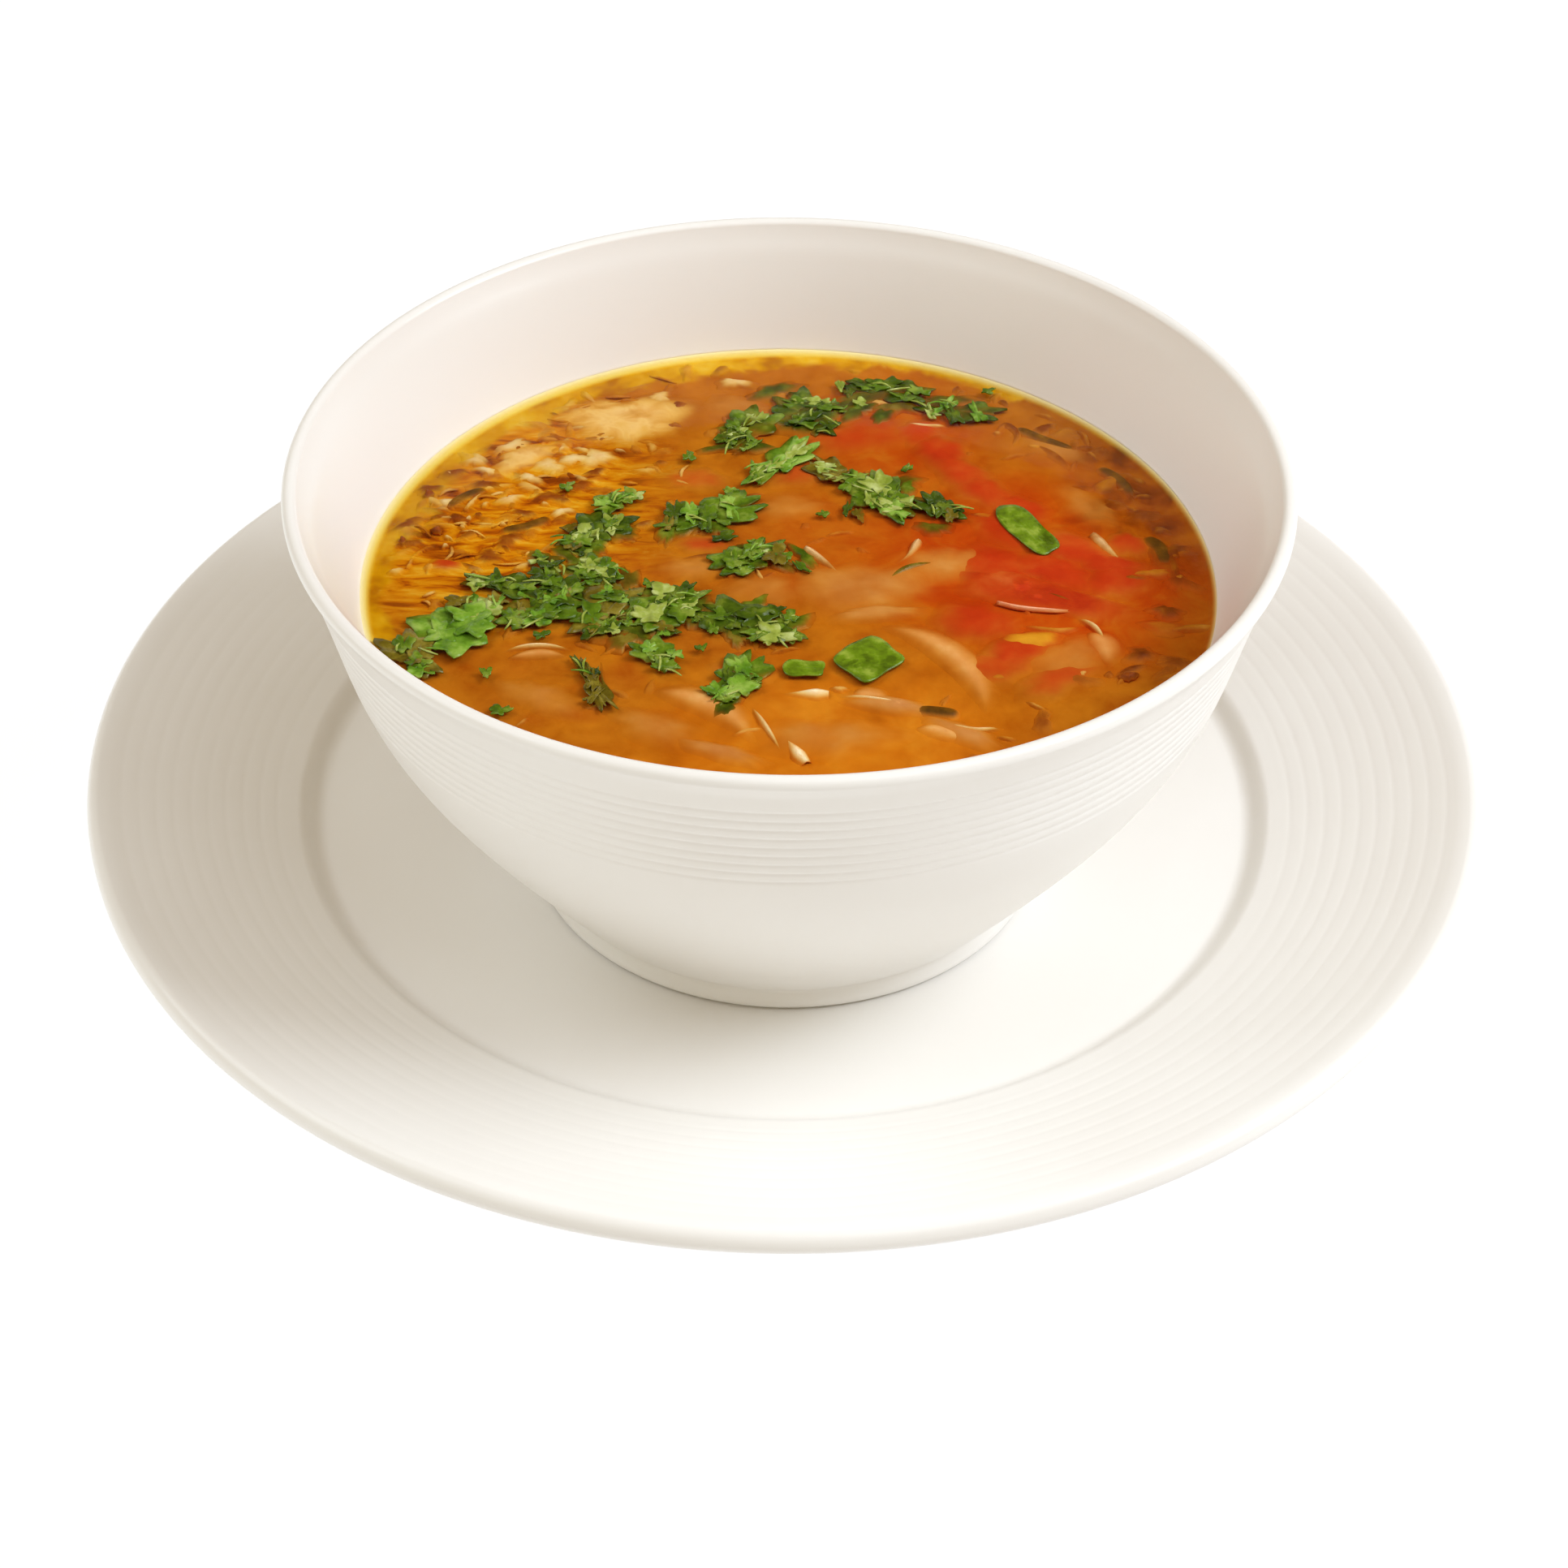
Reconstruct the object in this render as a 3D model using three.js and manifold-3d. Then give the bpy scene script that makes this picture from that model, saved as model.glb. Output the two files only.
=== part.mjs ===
// A bowl of clear vegetable soup, standing on its matching plate.
// Millimetres, +Z up. The origin is the middle of the plate's foot, on the table, and -Y faces the diner.
import * as THREE from 'three';
import { mergeVertices } from 'three/addons/utils/BufferGeometryUtils.js';
import Module from 'manifold-3d';

const wasm = await Module();
wasm.setup();

// ---------------------------------------------------------------- driving dimensions
const GAP = 0.3; // kept between pieces that touch in the real thing
const TURNED_SIDES = 44; // facets round the bowl and the plate

const PLATE = {
  radius: 120,
  edgeRound: 2.1, // radius of the rounded outer edge
  edgeHeight: 18.8, // middle of that edge above the table
  wellRadius: 81.6,
  wellHeight: 7, // top of the flat middle
  crestRadius: 84.4,
  crestHeight: 9.2,
  footInner: 62,
  footOuter: 70,
  recess: 2.5, // hollow inside the foot ring
  thickness: 4.4,
  shoulder: 3.5, // how far outside the crest the underside starts to follow the rim
  ribStart: 87.2,
  ribPitch: 2.85,
  ribCount: 10,
  ribDepth: 0.12,
};

const BOWL = {
  x: 0.4, // the bowl stands off the middle of the plate, towards the diner
  y: -13.35,
  base: PLATE.wellHeight + GAP,
  footInner: 39.8,
  footOuter: 43.8,
  recess: 3,
  bodyStart: new THREE.Vector2(44.2, 5), // where the body leaves the foot ring
  bodyPull: new THREE.Vector2(77, 48), // the two handles of the body's curve
  rimPull: new THREE.Vector2(70, 45.5),
  bodyEnd: new THREE.Vector2(79.1, 75.2),
  lipRadius: 78.75, // circle through the middle of the rounded lip
  lipHeight: 76.2,
  lipRound: 1.25,
  wallLow: 4.9, // wall thickness near the foot
  wallTaper: 2.5, // how much of it is gone at the lip
  wallThinning: 6, // a high power keeps the wall thick until near the lip
  floor: 7.2, // inside floor above the foot's underside
  floorRadius: 26, // flat part of that floor
  floorBend: 36.5, // where it has risen by a millimetre towards the wall
  wallStart: 0.07, // share of the body's curve at which the inside wall begins
  levels: [5, 11, 18, 26, 34, 42, 49], // heights at which the plain body is faceted
  ribStart: 52,
  ribPitch: 2.05,
  ribCount: 9,
  ribDepth: 0.2,
  neck: 73.6, // where the plain band under the lip ends
  lipTurns: [-15, 45, 110, 170], // degrees round the lip's circle
};

const SOUP_LEVEL = 56.3; // above the bowl's foot

// Strips lie flush with the surface of the soup.
const STRIP = { thickness: 1.5, endTaper: 0.55, steps: 6 };

// A cut for a sunk piece is open at the top. Round a lump its outline is scaled from the lump's own,
// which takes more than the gap to keep the gap everywhere.
const CUT_RISE = 3;
const LUMP_CLEARANCE = 1.8 * GAP;

// ---------------------------------------------------------------- small helpers
const rad = THREE.MathUtils.degToRad;
const point = (x, y) => new THREE.Vector2(x, y);

function material(color, roughness) {
  return new THREE.MeshStandardMaterial({ color, roughness, metalness: 0 });
}

const PORCELAIN = { color: '#efeae0', roughness: 0.25 };
const BROTH = { color: '#c0681f', roughness: 0.1 };
const PARSLEY = { color: '#3c7d26', roughness: 0.45 };
const SCALLION = { color: '#5e9c24', roughness: 0.4 };
const ONION = { color: '#dba068', roughness: 0.35 };
const BROWNED = { color: '#7d430c', roughness: 0.4 };
const TOMATO = { color: '#c83c16', roughness: 0.3 };
const POTATO = { color: '#e0b169', roughness: 0.5 };

function namedMesh(name, geometry, look) {
  const mesh = new THREE.Mesh(geometry, material(look.color, look.roughness));
  mesh.name = name;
  return mesh;
}

// A closed turned body: the profile runs from the axis, out, up and back to the axis.
function turned(profile) {
  const shell = new THREE.LatheGeometry(profile, TURNED_SIDES);
  return shell.rotateX(Math.PI / 2);
}

function toSolid(geometry) {
  const bare = geometry.clone();
  bare.deleteAttribute('normal');
  bare.deleteAttribute('uv');
  const merged = mergeVertices(bare, 1e-3);
  const triVerts = new Uint32Array(merged.index.array);
  const vertProperties = merged.attributes.position.array;
  return new wasm.Manifold(new wasm.Mesh({ numProp: 3, vertProperties, triVerts }));
}

function fromSolid(solid) {
  const { vertProperties, triVerts, numProp } = solid.getMesh();
  if (numProp !== 3) throw new Error('expected bare positions');
  const geometry = new THREE.BufferGeometry();
  geometry.setAttribute('position', new THREE.BufferAttribute(vertProperties, 3));
  geometry.setIndex(new THREE.BufferAttribute(triVerts, 1));
  geometry.computeVertexNormals();
  return geometry;
}

// A closed body from rings of the same number of points, stacked from the first to the last,
// with a fan of triangles to a middle point at each end.
function stacked(rings, firstMiddle, lastMiddle) {
  const sides = rings[0].length;
  const vertices = [...rings.flat(), firstMiddle, lastMiddle];
  const first = rings.length * sides;
  const faces = [];
  for (let k = 0; k < sides; k++) {
    const next = (k + 1) % sides;
    faces.push(first, next, k);
    for (let ring = 1; ring < rings.length; ring++) {
      const low = (ring - 1) * sides;
      const high = ring * sides;
      faces.push(low + k, low + next, high + next, low + k, high + next, high + k);
    }
    const top = (rings.length - 1) * sides;
    faces.push(first + 1, top + k, top + next);
  }
  const geometry = new THREE.BufferGeometry().setFromPoints(vertices);
  geometry.setIndex(faces);
  geometry.computeVertexNormals();
  return geometry;
}

// ---------------------------------------------------------------- plate
// Height of the rim's top, which rises straight from the crest to the edge.
function rimTop(radius) {
  const edgeTop = PLATE.edgeHeight + PLATE.edgeRound - 0.1;
  const edgeStart = PLATE.radius - PLATE.edgeRound;
  const share = (radius - PLATE.crestRadius) / (edgeStart - PLATE.crestRadius);
  return THREE.MathUtils.lerp(PLATE.crestHeight + 0.5, edgeTop, share);
}

function plateProfile() {
  const { radius, edgeRound, edgeHeight, crestRadius, crestHeight, wellRadius, wellHeight } = PLATE;
  const edge = radius - edgeRound;
  const underCrest = crestRadius + PLATE.shoulder;
  const profile = [point(0, PLATE.recess), point(PLATE.footInner - 1, PLATE.recess)];
  profile.push(point(PLATE.footInner, 0), point(PLATE.footOuter - 1, 0), point(PLATE.footOuter, 1));
  profile.push(point(PLATE.footOuter + 0.6, PLATE.recess), point(wellRadius + 1, PLATE.recess + 0.3));
  profile.push(point(wellRadius + 4, PLATE.recess + 2.2), point(underCrest, crestHeight - 4));
  profile.push(point(underCrest + 3, rimTop(underCrest + 3) - PLATE.thickness));
  for (const turn of [-65, 0, 55]) {
    const angle = rad(turn);
    profile.push(point(edge + edgeRound * Math.cos(angle), edgeHeight + edgeRound * Math.sin(angle)));
  }
  profile.push(point(edge, rimTop(edge)));
  for (let rib = PLATE.ribCount; rib >= 0; rib--) {
    const crest = PLATE.ribStart + rib * PLATE.ribPitch;
    profile.push(point(crest, rimTop(crest)));
    const groove = crest - PLATE.ribPitch / 2;
    if (rib > 0) profile.push(point(groove, rimTop(groove) - PLATE.ribDepth));
  }
  profile.push(point(crestRadius + 0.9, crestHeight + 0.3), point(crestRadius - 0.6, crestHeight - 0.8));
  profile.push(point(wellRadius + 1.2, wellHeight + 0.6), point(wellRadius, wellHeight + 0.1));
  profile.push(point(wellRadius - 2.5, wellHeight), point(0, wellHeight));
  return profile;
}

// ---------------------------------------------------------------- bowl
const bodyCurve = new THREE.CubicBezierCurve(BOWL.bodyStart, BOWL.bodyPull, BOWL.rimPull, BOWL.bodyEnd);

// The share along a curve at which its height reaches a level.
function shareAt(heightOf, level) {
  let low = 0;
  let high = 1;
  for (let step = 0; step < 40; step++) {
    const middle = (low + high) / 2;
    if (heightOf(middle) < level) low = middle;
    else high = middle;
  }
  return low;
}

function outerWall(level) {
  const share = shareAt((t) => bodyCurve.getPoint(t).y, level);
  return bodyCurve.getPoint(share);
}

// The inside wall is the body's curve moved in by the wall's thickness, plus any extra clearance.
function innerWall(share, extra) {
  const tangent = bodyCurve.getTangent(share);
  const inward = BOWL.wallLow - BOWL.wallTaper * share ** BOWL.wallThinning + extra;
  const start = bodyCurve.getPoint(share);
  return point(start.x - tangent.y * inward, start.y + tangent.x * inward);
}

// Inside outline from the floor's middle up to a level.
function innerOutline(level, extra, steps) {
  const end = shareAt((t) => innerWall(t, extra).y, level);
  const outline = [point(0, BOWL.floor + extra), point(BOWL.floorRadius, BOWL.floor + extra)];
  outline.push(point(BOWL.floorBend, BOWL.floor + 1 + extra));
  for (let step = 0; step <= steps; step++) {
    outline.push(innerWall(THREE.MathUtils.lerp(BOWL.wallStart, end, step / steps), extra));
  }
  return outline;
}

function bowlProfile() {
  const profile = [point(0, BOWL.recess), point(BOWL.footInner - 1, BOWL.recess)];
  profile.push(point(BOWL.footInner, 0.6), point(BOWL.footInner + 0.7, 0), point(BOWL.footOuter - 0.8, 0));
  profile.push(point(BOWL.footOuter, 0.8), point(BOWL.footOuter - 0.9, 3.6));
  for (const level of BOWL.levels) profile.push(outerWall(level));
  for (let rib = 0; rib <= BOWL.ribCount; rib++) {
    const crest = outerWall(BOWL.ribStart + rib * BOWL.ribPitch);
    profile.push(crest);
    if (rib === BOWL.ribCount) break;
    const groove = outerWall(BOWL.ribStart + (rib + 0.5) * BOWL.ribPitch);
    profile.push(point(groove.x - BOWL.ribDepth, groove.y));
  }
  profile.push(outerWall(BOWL.neck));
  for (const turn of BOWL.lipTurns) {
    const angle = rad(turn);
    const reach = BOWL.lipRadius + BOWL.lipRound * Math.cos(angle);
    profile.push(point(reach, BOWL.lipHeight + BOWL.lipRound * Math.sin(angle)));
  }
  const inside = innerOutline(BOWL.lipHeight - 3, 0, 7);
  return [...profile, ...inside.reverse()];
}

// ---------------------------------------------------------------- pieces in and on the soup
// A thin leaf. Its reach from the middle changes with the angle, its lift with the place on it.
function leaf({ length, width, teeth, notch, lobe, squareness, curl, ripple, rings, thickness }) {
  const sides = teeth * 2;
  const share = [...Array(rings).keys()].map((ring) => (ring + 1) / rings);
  const edge = (angle, k) => {
    const corner = Math.abs(Math.cos(angle)) ** squareness + Math.abs(Math.sin(angle)) ** squareness;
    const tooth = k % 2 ? 1 - notch : 1;
    return (tooth * (1 + lobe * Math.cos(3 * angle))) / corner ** (1 / squareness);
  };
  const place = (k, reach) => {
    const angle = (k / sides) * Math.PI * 2;
    const out = reach * edge(angle, k);
    const lift = curl * out * out * Math.cos(angle) ** 2 + ripple * out * Math.sin(3 * angle + length);
    const x = (out * Math.cos(angle) * length) / 2;
    const y = (out * Math.sin(angle) * width) / 2;
    return new THREE.Vector3(x, y, lift);
  };
  const under = share.map((reach) => [...Array(sides).keys()].map((k) => place(k, reach)));
  const over = under.map((ring) => ring.map((p) => p.clone().setZ(p.z + thickness)));
  const middle = new THREE.Vector3(0, 0, 0);
  const geometry = stacked([...under, ...over.reverse()], middle, middle.clone().setZ(thickness));
  geometry.computeBoundingBox();
  return geometry.translate(0, 0, -geometry.boundingBox.min.z);
}

// A flat strip that follows a curve through its points, its top at zero height.
function strip({ through, width, grow = 0 }) {
  const { thickness, endTaper, steps } = STRIP;
  const curve = new THREE.CatmullRomCurve3(through.map(([x, y]) => new THREE.Vector3(x, y, 0)));
  const low = -thickness - grow;
  const high = grow > 0 ? CUT_RISE : 0;
  const rings = [];
  for (let step = 0; step <= steps; step++) {
    const share = step / steps;
    const along = curve.getTangent(share);
    const middle = curve.getPoint(share);
    if (step === 0) middle.addScaledVector(along, -grow);
    if (step === steps) middle.addScaledVector(along, grow);
    const taper = THREE.MathUtils.lerp(endTaper, 1, Math.sin(Math.PI * (0.12 + share * 0.8)) ** 0.5);
    const half = (width * taper) / 2 + grow;
    const side = new THREE.Vector3(-along.y, along.x, 0).multiplyScalar(half);
    const corner = (sign, z) => middle.clone().addScaledVector(side, sign).setZ(z);
    rings.push([corner(-1, low), corner(1, low), corner(1, high), corner(-1, high)]);
  }
  const centre = (ring) => ring[0].clone().add(ring[2]).multiplyScalar(0.5);
  return stacked(rings, centre(rings[0]), centre(rings[steps]));
}

// A cooked chunk that floats with most of itself below the surface.
function chunk({ length, width, depth, proud, bumps, grow = 0, sides = 14 }) {
  const ringAt = (shrink, z) => {
    const ring = [];
    for (let k = 0; k < sides; k++) {
      const angle = (k / sides) * Math.PI * 2;
      const uneven = 1 + bumps * Math.sin(3 * angle + 1) + bumps * 0.7 * Math.cos(5 * angle);
      const x = ((length * shrink * uneven) / 2 + grow) * Math.cos(angle);
      const y = ((width * shrink * uneven) / 2 + grow) * Math.sin(angle);
      ring.push(new THREE.Vector3(x, y, z));
    }
    return ring;
  };
  if (grow > 0) {
    const rings = [ringAt(1, -depth - grow), ringAt(1, CUT_RISE)];
    return stacked(rings, new THREE.Vector3(0, 0, -depth - grow), new THREE.Vector3(0, 0, CUT_RISE));
  }
  const rings = [ringAt(0.7, -depth), ringAt(1, -depth * 0.55)];
  rings.push(ringAt(0.97, -0.3), ringAt(0.78, proud * 0.7));
  return stacked(rings, new THREE.Vector3(0, 0, -depth), new THREE.Vector3(0, 0, proud));
}

const PARSLEY_LEAF = { notch: 0.3, lobe: 0.22, squareness: 2, thickness: 0.5 };
const SCALLION_LEAF = {
  teeth: 8, notch: 0, lobe: 0, squareness: 5, curl: 0.3, ripple: 0.1, rings: 2, thickness: 0.6,
};

// Where each piece lies: the middle in the bowl's own frame, the turn from +X in degrees, and its sizes.
const LEAVES = [
  // name, x, y, turn, length, width, teeth, curl, ripple
  ['parsley_01', -52.5, -14.5, 60, 15, 11.5, 9, 0.6, 0.55],
  ['parsley_02', -59.0, -23.0, -48, 12, 7, 6, 0.4, 0.35],
  ['parsley_03', -48.5, -3.6, -21, 12.5, 5.6, 6, 0.3, 0.25],
  ['parsley_04', -41.4, -12.2, 38, 12.5, 7.5, 7, 0.4, 0.35],
  ['parsley_05', -38.6, -2.6, -50, 11, 7, 7, 0.5, 0.45],
  ['parsley_06', -31.0, 0.2, -30, 8, 6, 6, 0.4, 0.35],
  ['parsley_07', -34.0, 10.6, 41, 12, 7.5, 7, 0.45, 0.45],
  ['parsley_08', -29.0, 20.4, 36, 8.5, 4.6, 6, 0.35, 0.3],
  ['parsley_09', -30.6, -12.8, 64, 14, 7.5, 7, 0.45, 0.4],
  ['parsley_10', -19.6, -9.6, 40, 13, 8.5, 8, 0.6, 0.5],
  ['parsley_11', -6.4, -13.6, -26, 16, 8, 8, 0.55, 0.55],
  ['parsley_12', -20.6, -22.5, -50, 8.5, 5.5, 6, 0.3, 0.3],
  ['parsley_13', -31.2, -28.0, -64, 13, 4, 5, 0.15, 0.15],
  ['parsley_14', -8.8, -30.6, 62, 12, 6.5, 7, 0.65, 0.45],
  ['parsley_15', -15.6, 15.6, 27, 16, 7, 7, 0.45, 0.35],
  ['parsley_16', -6.8, 4.3, 34, 12, 6.5, 6, 0.3, 0.3],
  ['parsley_17', -3.6, 30.2, 51, 15.5, 6, 6, 0.35, 0.3],
  ['parsley_18', -8.8, 41.6, 55, 12, 7, 7, 0.5, 0.35],
  ['parsley_19', 2.8, 48.4, -60, 14, 7.5, 6, 0.2, 0.2],
  ['parsley_20', 14.2, 56.3, -18, 14, 6, 6, 0.2, 0.2],
  ['parsley_21', 26.7, 49.6, -12, 14, 5, 6, 0.3, 0.25],
  ['parsley_22', 7.6, 29.6, -42, 10.5, 5.5, 6, 0.4, 0.35],
  ['parsley_23', 15.6, 22.0, -62, 13.5, 9, 8, 0.65, 0.5],
  ['parsley_24', 25.2, 19.4, -38, 8.5, 5.5, 6, 0.2, 0.2],
];

const SCALLIONS = [
  // name, x, y, turn, length, width
  ['scallion_1', 12.6, -23.0, 42, 9.6, 8.8],
  ['scallion_2', 2.5, -25.6, -4, 6.2, 4.2],
  ['scallion_3', 39.4, 13.2, -60, 14.5, 6.0],
];

const ONIONS = [
  // name, width, points that it runs through
  ['onion_01', 7.0, [[11.4, -13.4], [19.6, -15.2], [26.6, -22.0], [30.4, -31.0], [30.2, -38.5]]],
  ['onion_02', 5.2, [[9.0, -31.2], [12.8, -31.8], [17.0, -33.6]]],
  ['onion_03', 7.0, [[-23.5, -30.4], [-15.5, -32.4], [-8.5, -37.4], [-3.6, -46.4]]],
  ['onion_04', 2.4, [[-1.4, -40.6], [0.8, -44.6], [3.0, -48.6]]],
  ['onion_05', 6.4, [[47.0, -13.6], [49.8, -18.0], [50.4, -25.0]]],
  ['onion_06', 1.8, [[2.8, 7.6], [6.0, 3.8], [8.2, 0.2], [8.4, -5.0]]],
  ['onion_07', 1.8, [[21.4, 10.0], [19.4, 5.6], [14.8, 1.6]]],
  ['onion_08', 2.2, [[50.4, 12.4], [53.8, 6.0], [58.2, -0.6]]],
  ['onion_09', 3.0, [[-45.2, -23.4], [-39.2, -21.8], [-33.6, -22.4]]],
  ['onion_10', 2.6, [[-2.6, -31.2], [2.4, -31.4], [6.4, -31.4]]],
  ['onion_11', 4.6, [[18.6, -39.6], [23.8, -40.6], [28.0, -43.6]]],
];

const BROWNED_ONIONS = [
  ['browned_onion_1', 3.2, [[19.2, -35.2], [23.2, -35.8], [27.0, -36.4]]],
  ['browned_onion_2', 2.6, [[38.6, 45.4], [43.4, 41.4], [50.4, 37.0]]],
  ['browned_onion_3', 2.6, [[52.2, 33.0], [55.6, 29.4], [58.4, 23.0]]],
  ['browned_onion_4', 3.6, [[58.6, 12.6], [61.2, 8.4], [61.6, 3.2]]],
  ['browned_onion_5', 2.8, [[-48.6, 11.6], [-43.4, 13.2], [-39.2, 16.4]]],
  ['browned_onion_6', 2.4, [[-57.6, 17.8], [-54.6, 21.8], [-50.4, 24.6]]],
];

const CHUNKS = [
  // name, look, x, y, turn, sizes
  ['potato', POTATO, -29.2, 46.2, 12, { length: 20.5, width: 18.5, depth: 8, proud: 0.5, bumps: 0.07 }],
  ['potato_scrap', POTATO, -46.0, 33.6, 30, { length: 13, width: 6.5, depth: 4, proud: 0.4, bumps: 0.1 }],
  ['tomato', TOMATO, 38.8, -3.6, -22, { length: 25, width: 11, depth: 5, proud: 0.6, bumps: 0.06 }],
];

// Chopped herb and fried onion too small for nodes of their own: x, y, half size, turn.
const FLAKE_HEIGHT = 0.5;
const FLAKES = [
  [-46.9, -28.2, 1.5, 20], [-43.6, -37.2, 2.0, 70], [-38.8, -17.6, 1.6, 0], [-22.6, -3.6, 1.6, 40],
  [-13.4, -20.6, 1.2, 10], [-9.6, 23.6, 1.5, 55], [-17.2, 34.2, 1.8, 80], [19.8, 30.6, 1.3, 30],
  [5.4, 16.8, 1.2, 15], [-60.6, 22.4, 1.6, 35], [-58.2, 11.6, 1.5, 60], [-63.6, 8.6, 1.3, 10],
  [-37.2, 24.6, 1.8, 25], [53.2, -26.4, 1.9, 0], [35.2, 55.8, 1.5, 50], [33.6, -52.6, 1.2, 5],
];

function inPlace(geometry, x, y, turn, z = SOUP_LEVEL) {
  return geometry.rotateZ(rad(turn)).translate(x, y, z);
}

function parsleyLeaves() {
  return LEAVES.map(([name, x, y, turn, length, width, teeth, curl, ripple]) => {
    const sizes = { length, width, teeth, curl, ripple, rings: teeth > 6 ? 2 : 1 };
    const shape = leaf({ ...PARSLEY_LEAF, ...sizes });
    return namedMesh(name, inPlace(shape, x, y, turn, SOUP_LEVEL + GAP), PARSLEY);
  });
}

function scallionPieces() {
  return SCALLIONS.map(([name, x, y, turn, length, width]) => {
    const shape = leaf({ ...SCALLION_LEAF, length, width });
    return namedMesh(name, inPlace(shape, x, y, turn, SOUP_LEVEL + GAP), SCALLION);
  });
}

const stripRows = [
  ...ONIONS.map((row) => [...row, ONION]),
  ...BROWNED_ONIONS.map((row) => [...row, BROWNED]),
];

function stripPieces() {
  return stripRows.map(([name, width, through, look]) => {
    return namedMesh(name, strip({ through, width }).translate(0, 0, SOUP_LEVEL), look);
  });
}

function chunkPieces() {
  return CHUNKS.map(([name, look, x, y, turn, sizes]) => {
    return namedMesh(name, inPlace(chunk(sizes), x, y, turn), look);
  });
}

// ---------------------------------------------------------------- soup
// The soup fills the bowl to its level. It is cut round what is sunk in it, and carries the flakes.
function soupGeometry() {
  const outline = innerOutline(SOUP_LEVEL, GAP, 5);
  let soup = toSolid(turned([...outline, point(0, SOUP_LEVEL)]));
  for (const [x, y, half, turn] of FLAKES) {
    const flake = new THREE.CylinderGeometry(half * 0.7, half, FLAKE_HEIGHT * 2, 6).rotateX(Math.PI / 2);
    soup = soup.add(toSolid(inPlace(flake.scale(1, 0.7, 1), x, y, turn)));
  }
  for (const [, width, through] of stripRows) {
    soup = soup.subtract(toSolid(strip({ through, width, grow: GAP }).translate(0, 0, SOUP_LEVEL)));
  }
  for (const [, , x, y, turn, sizes] of CHUNKS) {
    const cut = chunk({ ...sizes, grow: LUMP_CLEARANCE });
    soup = soup.subtract(toSolid(inPlace(cut, x, y, turn)));
  }
  return fromSolid(soup);
}

// ---------------------------------------------------------------- the whole
const filledBowl = new THREE.Group();
filledBowl.position.set(BOWL.x, BOWL.y, BOWL.base);
filledBowl.add(namedMesh('bowl', turned(bowlProfile()), PORCELAIN));
filledBowl.add(namedMesh('soup', soupGeometry(), BROTH));
filledBowl.add(...chunkPieces(), ...stripPieces(), ...scallionPieces(), ...parsleyLeaves());

const part = new THREE.Group();
part.add(namedMesh('plate', turned(plateProfile()), PORCELAIN), filledBowl);

export default part;
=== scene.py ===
"""Looks of a bowl of clear vegetable soup on its plate: glazed porcelain, broth and cooked garnish."""
import math
import random

import bmesh
import bpy
from mathutils import Matrix, Vector, noise


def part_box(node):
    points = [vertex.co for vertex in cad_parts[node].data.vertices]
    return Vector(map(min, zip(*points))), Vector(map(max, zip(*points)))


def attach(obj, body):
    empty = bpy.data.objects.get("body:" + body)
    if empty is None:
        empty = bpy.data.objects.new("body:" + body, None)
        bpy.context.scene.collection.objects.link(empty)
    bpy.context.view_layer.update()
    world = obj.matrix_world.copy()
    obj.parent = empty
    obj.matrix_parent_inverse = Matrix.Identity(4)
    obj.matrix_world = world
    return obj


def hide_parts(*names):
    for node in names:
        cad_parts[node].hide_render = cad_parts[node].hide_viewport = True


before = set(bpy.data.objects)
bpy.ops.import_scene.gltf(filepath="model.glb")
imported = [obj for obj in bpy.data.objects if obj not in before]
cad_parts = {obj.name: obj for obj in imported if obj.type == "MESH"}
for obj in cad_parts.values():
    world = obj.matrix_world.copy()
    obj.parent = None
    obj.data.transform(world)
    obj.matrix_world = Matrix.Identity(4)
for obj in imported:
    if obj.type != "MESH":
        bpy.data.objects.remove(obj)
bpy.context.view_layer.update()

MM = 0.001


# ------------------------------------------------------------------ places taken from the frame
def middle(node):
    low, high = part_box(node)
    return (Vector(low) + Vector(high)) / 2


BOWL_LOW, BOWL_HIGH = (Vector(corner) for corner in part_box("bowl"))
PLATE_LOW, PLATE_HIGH = (Vector(corner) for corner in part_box("plate"))
BOWL_FOOT = Vector((middle("bowl").x, middle("bowl").y, BOWL_LOW.z))
PLATE_FOOT = Vector((middle("plate").x, middle("plate").y, PLATE_LOW.z))

# Sizes of the crockery in millimetres, as the solids have them.
PLATE_RADIUS = (PLATE_HIGH.x - PLATE_LOW.x) / 2 / MM
PLATE_EDGE_ROUND = 2.1
PLATE_EDGE_HEIGHT = 18.8
WELL_RADIUS = 81.6
WELL_HEIGHT = (BOWL_LOW.z - PLATE_LOW.z) / MM - 0.3
CREST_RADIUS = 84.4
CREST_HEIGHT = 9.2
PLATE_FOOT_INNER = 62
PLATE_FOOT_OUTER = 70
PLATE_RECESS = 2.5
PLATE_THICKNESS = 4.4
PLATE_RIBS = {"start": 87.2, "pitch": 2.85, "count": 10, "depth": 0.055}

FOOT_INNER = 39.8
FOOT_OUTER = 43.8
BOWL_RECESS = 3
BODY_CURVE = [Vector(p) for p in ((44.2, 5), (77, 48), (70, 45.5), (79.1, 75.2))]
LIP_RADIUS = 78.75
LIP_HEIGHT = 76.2
LIP_ROUND = 1.25
WALL_LOW = 4.9
WALL_TAPER = 2.5
WALL_THINNING = 6  # a high power: the wall stays thick until near the lip
BOWL_FLOOR = 7.2
FLOOR_RADIUS = 34  # flat part of the inside floor
FLOOR_BEND = (0.07, 0.14)  # shares of the body's curve over which the floor turns into the wall
BOWL_RIBS = {"start": 52, "pitch": 2.05, "count": 9, "depth": 0.17}

SOUP_LEVEL = 56.3


# ------------------------------------------------------------------ materials
def linear(hex_colour):
    """The sRGB colour as the linear one that shaders take."""
    parts = [int(hex_colour[i:i + 2], 16) / 255 for i in (1, 3, 5)]
    return [c / 12.92 if c <= 0.04045 else ((c + 0.055) / 1.055) ** 2.4 for c in parts] + [1]


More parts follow.
